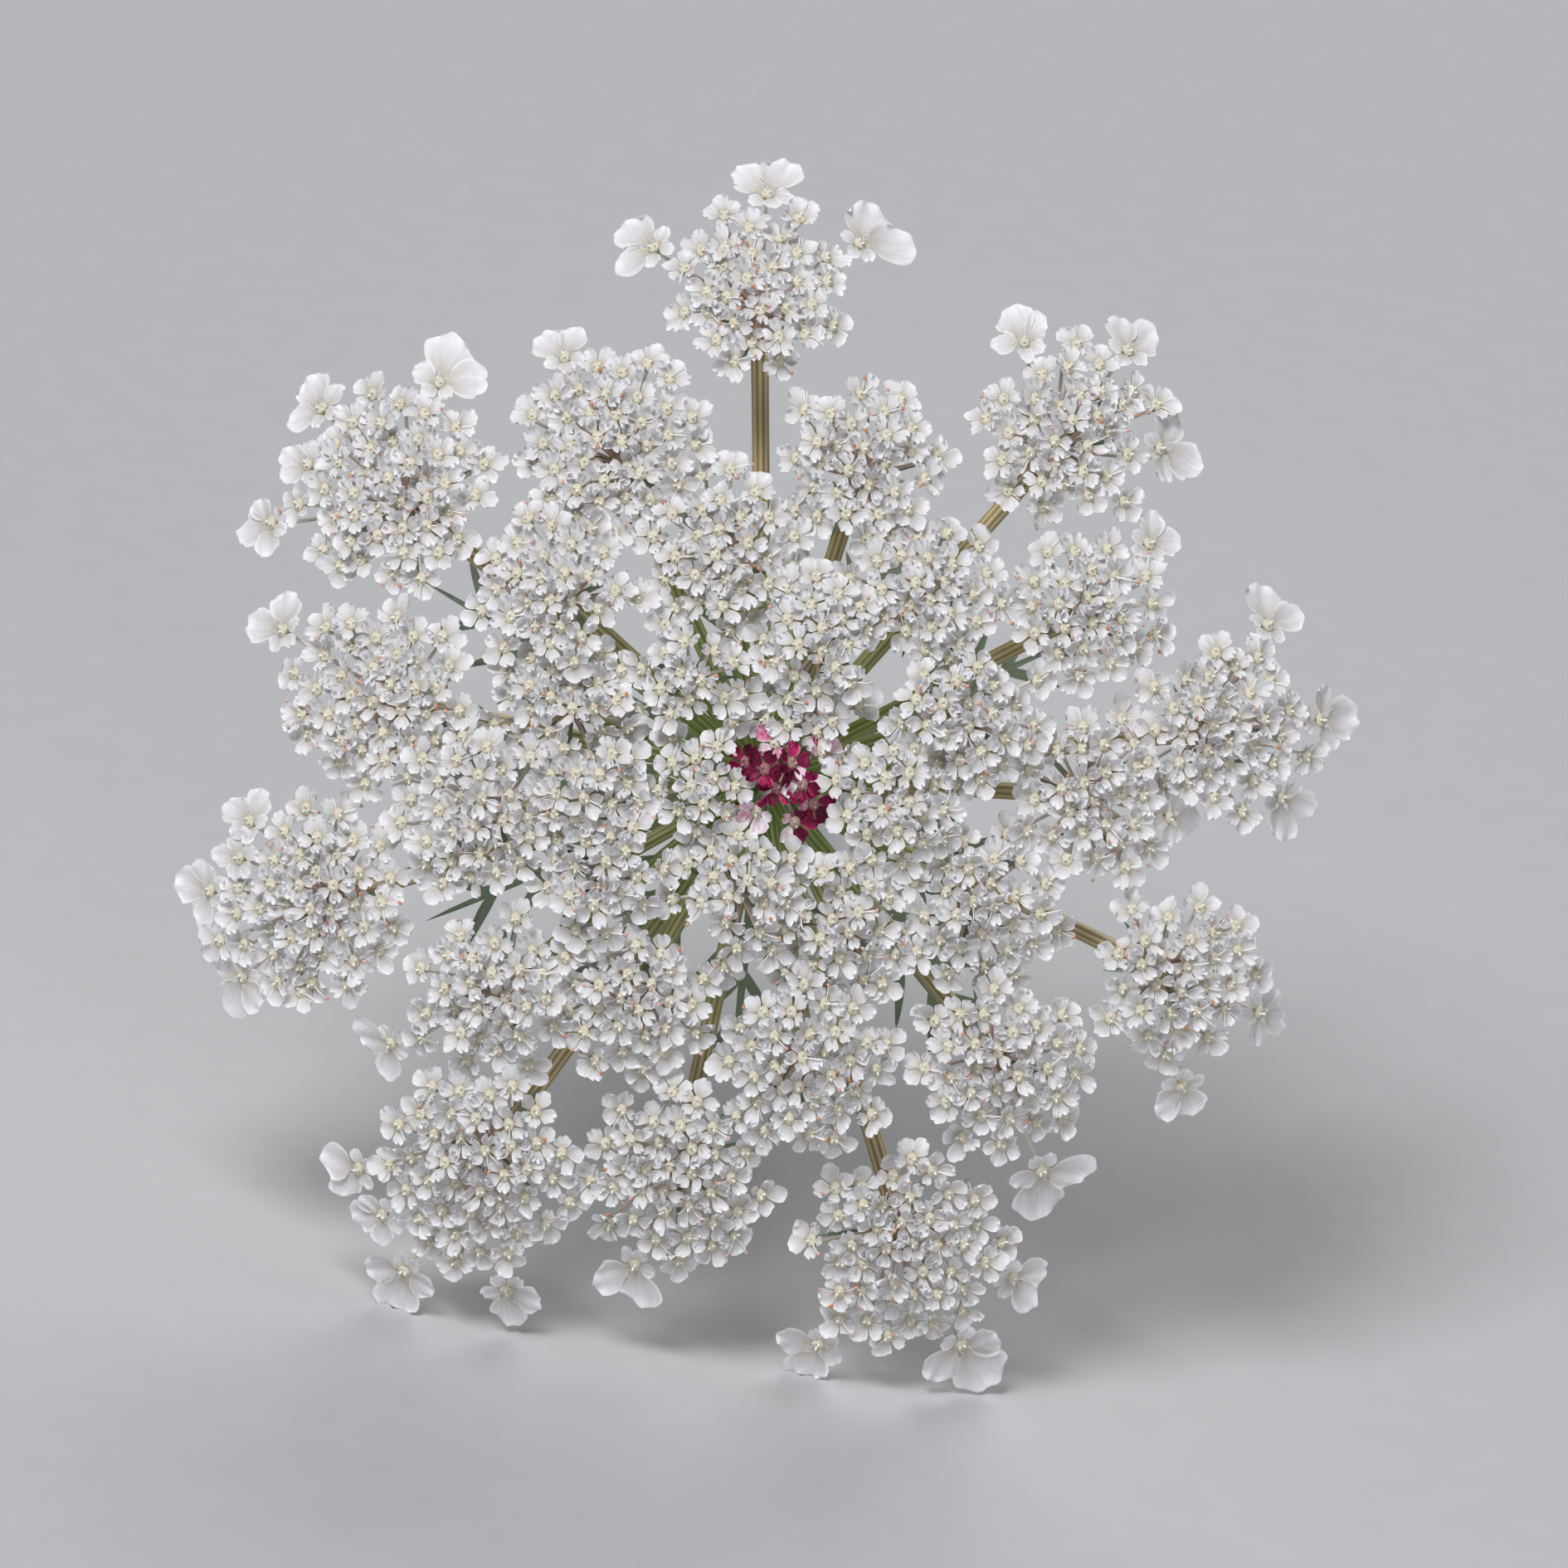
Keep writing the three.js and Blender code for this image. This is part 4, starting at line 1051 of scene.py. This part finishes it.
# ---- Floor, light and camera ----
# A plain pale board, a soft lamp above and in front, a weaker one from the right, a broad one
# from behind and above, and a dim even sky. The camera looks into the umbel's face along its axis.
FLOOR_SIDE = 6.0
floor_paint, place = new_material("matt grey board")
tooth = node(floor_paint, "TexNoise", {"Vector": place, "Scale": 1 / (4 * MM)})
board = node(floor_paint, "ValToRGB", {"Fac": tooth}, stops=[(0.3, "#b7b9bc"), (0.7, "#b9bbbe")])
coat(floor_paint, Base_Color=board, Roughness=0.85)
floor_mesh = bpy.data.meshes.new("floor")
half = FLOOR_SIDE / 2
floor_mesh.from_pydata([(-half, -half, 0), (half, -half, 0), (half, half, 0), (-half, half, 0)],
                       [], [(0, 1, 2, 3)])
floor_mesh.materials.append(floor_paint)
floor = new_object("floor", floor_mesh)

world = bpy.data.worlds.new("even sky")
world.use_nodes = True
sky = world.node_tree.nodes["Background"]
sky.inputs["Color"].default_value = linear("#f3f2f5")
sky.inputs["Strength"].default_value = 0.06
bpy.context.scene.world = world

FACE_RIGHT, FACE_UP, AXIS = TURN.T
aim = (TURN @ [1.56, -0.5, 12.0] + SHIFT) * MM


def add_lamp(name, toward, distance, size, power):
    """A square soft lamp that shines at the umbel from the direction toward."""
    data = bpy.data.lights.new(name, "AREA")
    data.size = size
    data.energy = power
    lamp = new_object(name, data)
    direction = unit(np.array(toward))
    lamp.location = aim + direction * distance
    lamp.rotation_euler = mathutils.Vector(direction).to_track_quat("Z", "Y").to_euler()


add_lamp("overhead", AXIS + FACE_UP * 0.85 - FACE_RIGHT * 0.3, 0.9, 0.35, 6.8)
add_lamp("front", AXIS + FACE_RIGHT * 0.45 - FACE_UP * 0.15, 1.1, 0.5, 2.4)
add_lamp("back", FACE_UP * 0.9 - AXIS * 0.6 + FACE_RIGHT * 0.4, 1.2, 0.9, 8.0)

CAMERA_DISTANCE = 0.8
FRAME_WIDTH = 118.125 * MM  # what the square view takes in at the umbel
SENSOR_WIDTH = 36
camera_data = bpy.data.cameras.new("camera")
camera_data.sensor_width = SENSOR_WIDTH
camera_data.lens = SENSOR_WIDTH * CAMERA_DISTANCE / FRAME_WIDTH
camera_data.clip_start = 0.01
camera = new_object("camera", camera_data)
camera_place = np.column_stack([FACE_RIGHT, FACE_UP, AXIS, aim + AXIS * CAMERA_DISTANCE])
camera.matrix_world = mathutils.Matrix([*camera_place.tolist(), (0, 0, 0, 1)])
bpy.context.scene.camera = camera
bpy.context.scene.view_settings.view_transform = "Standard"

bpy.context.view_layer.update()
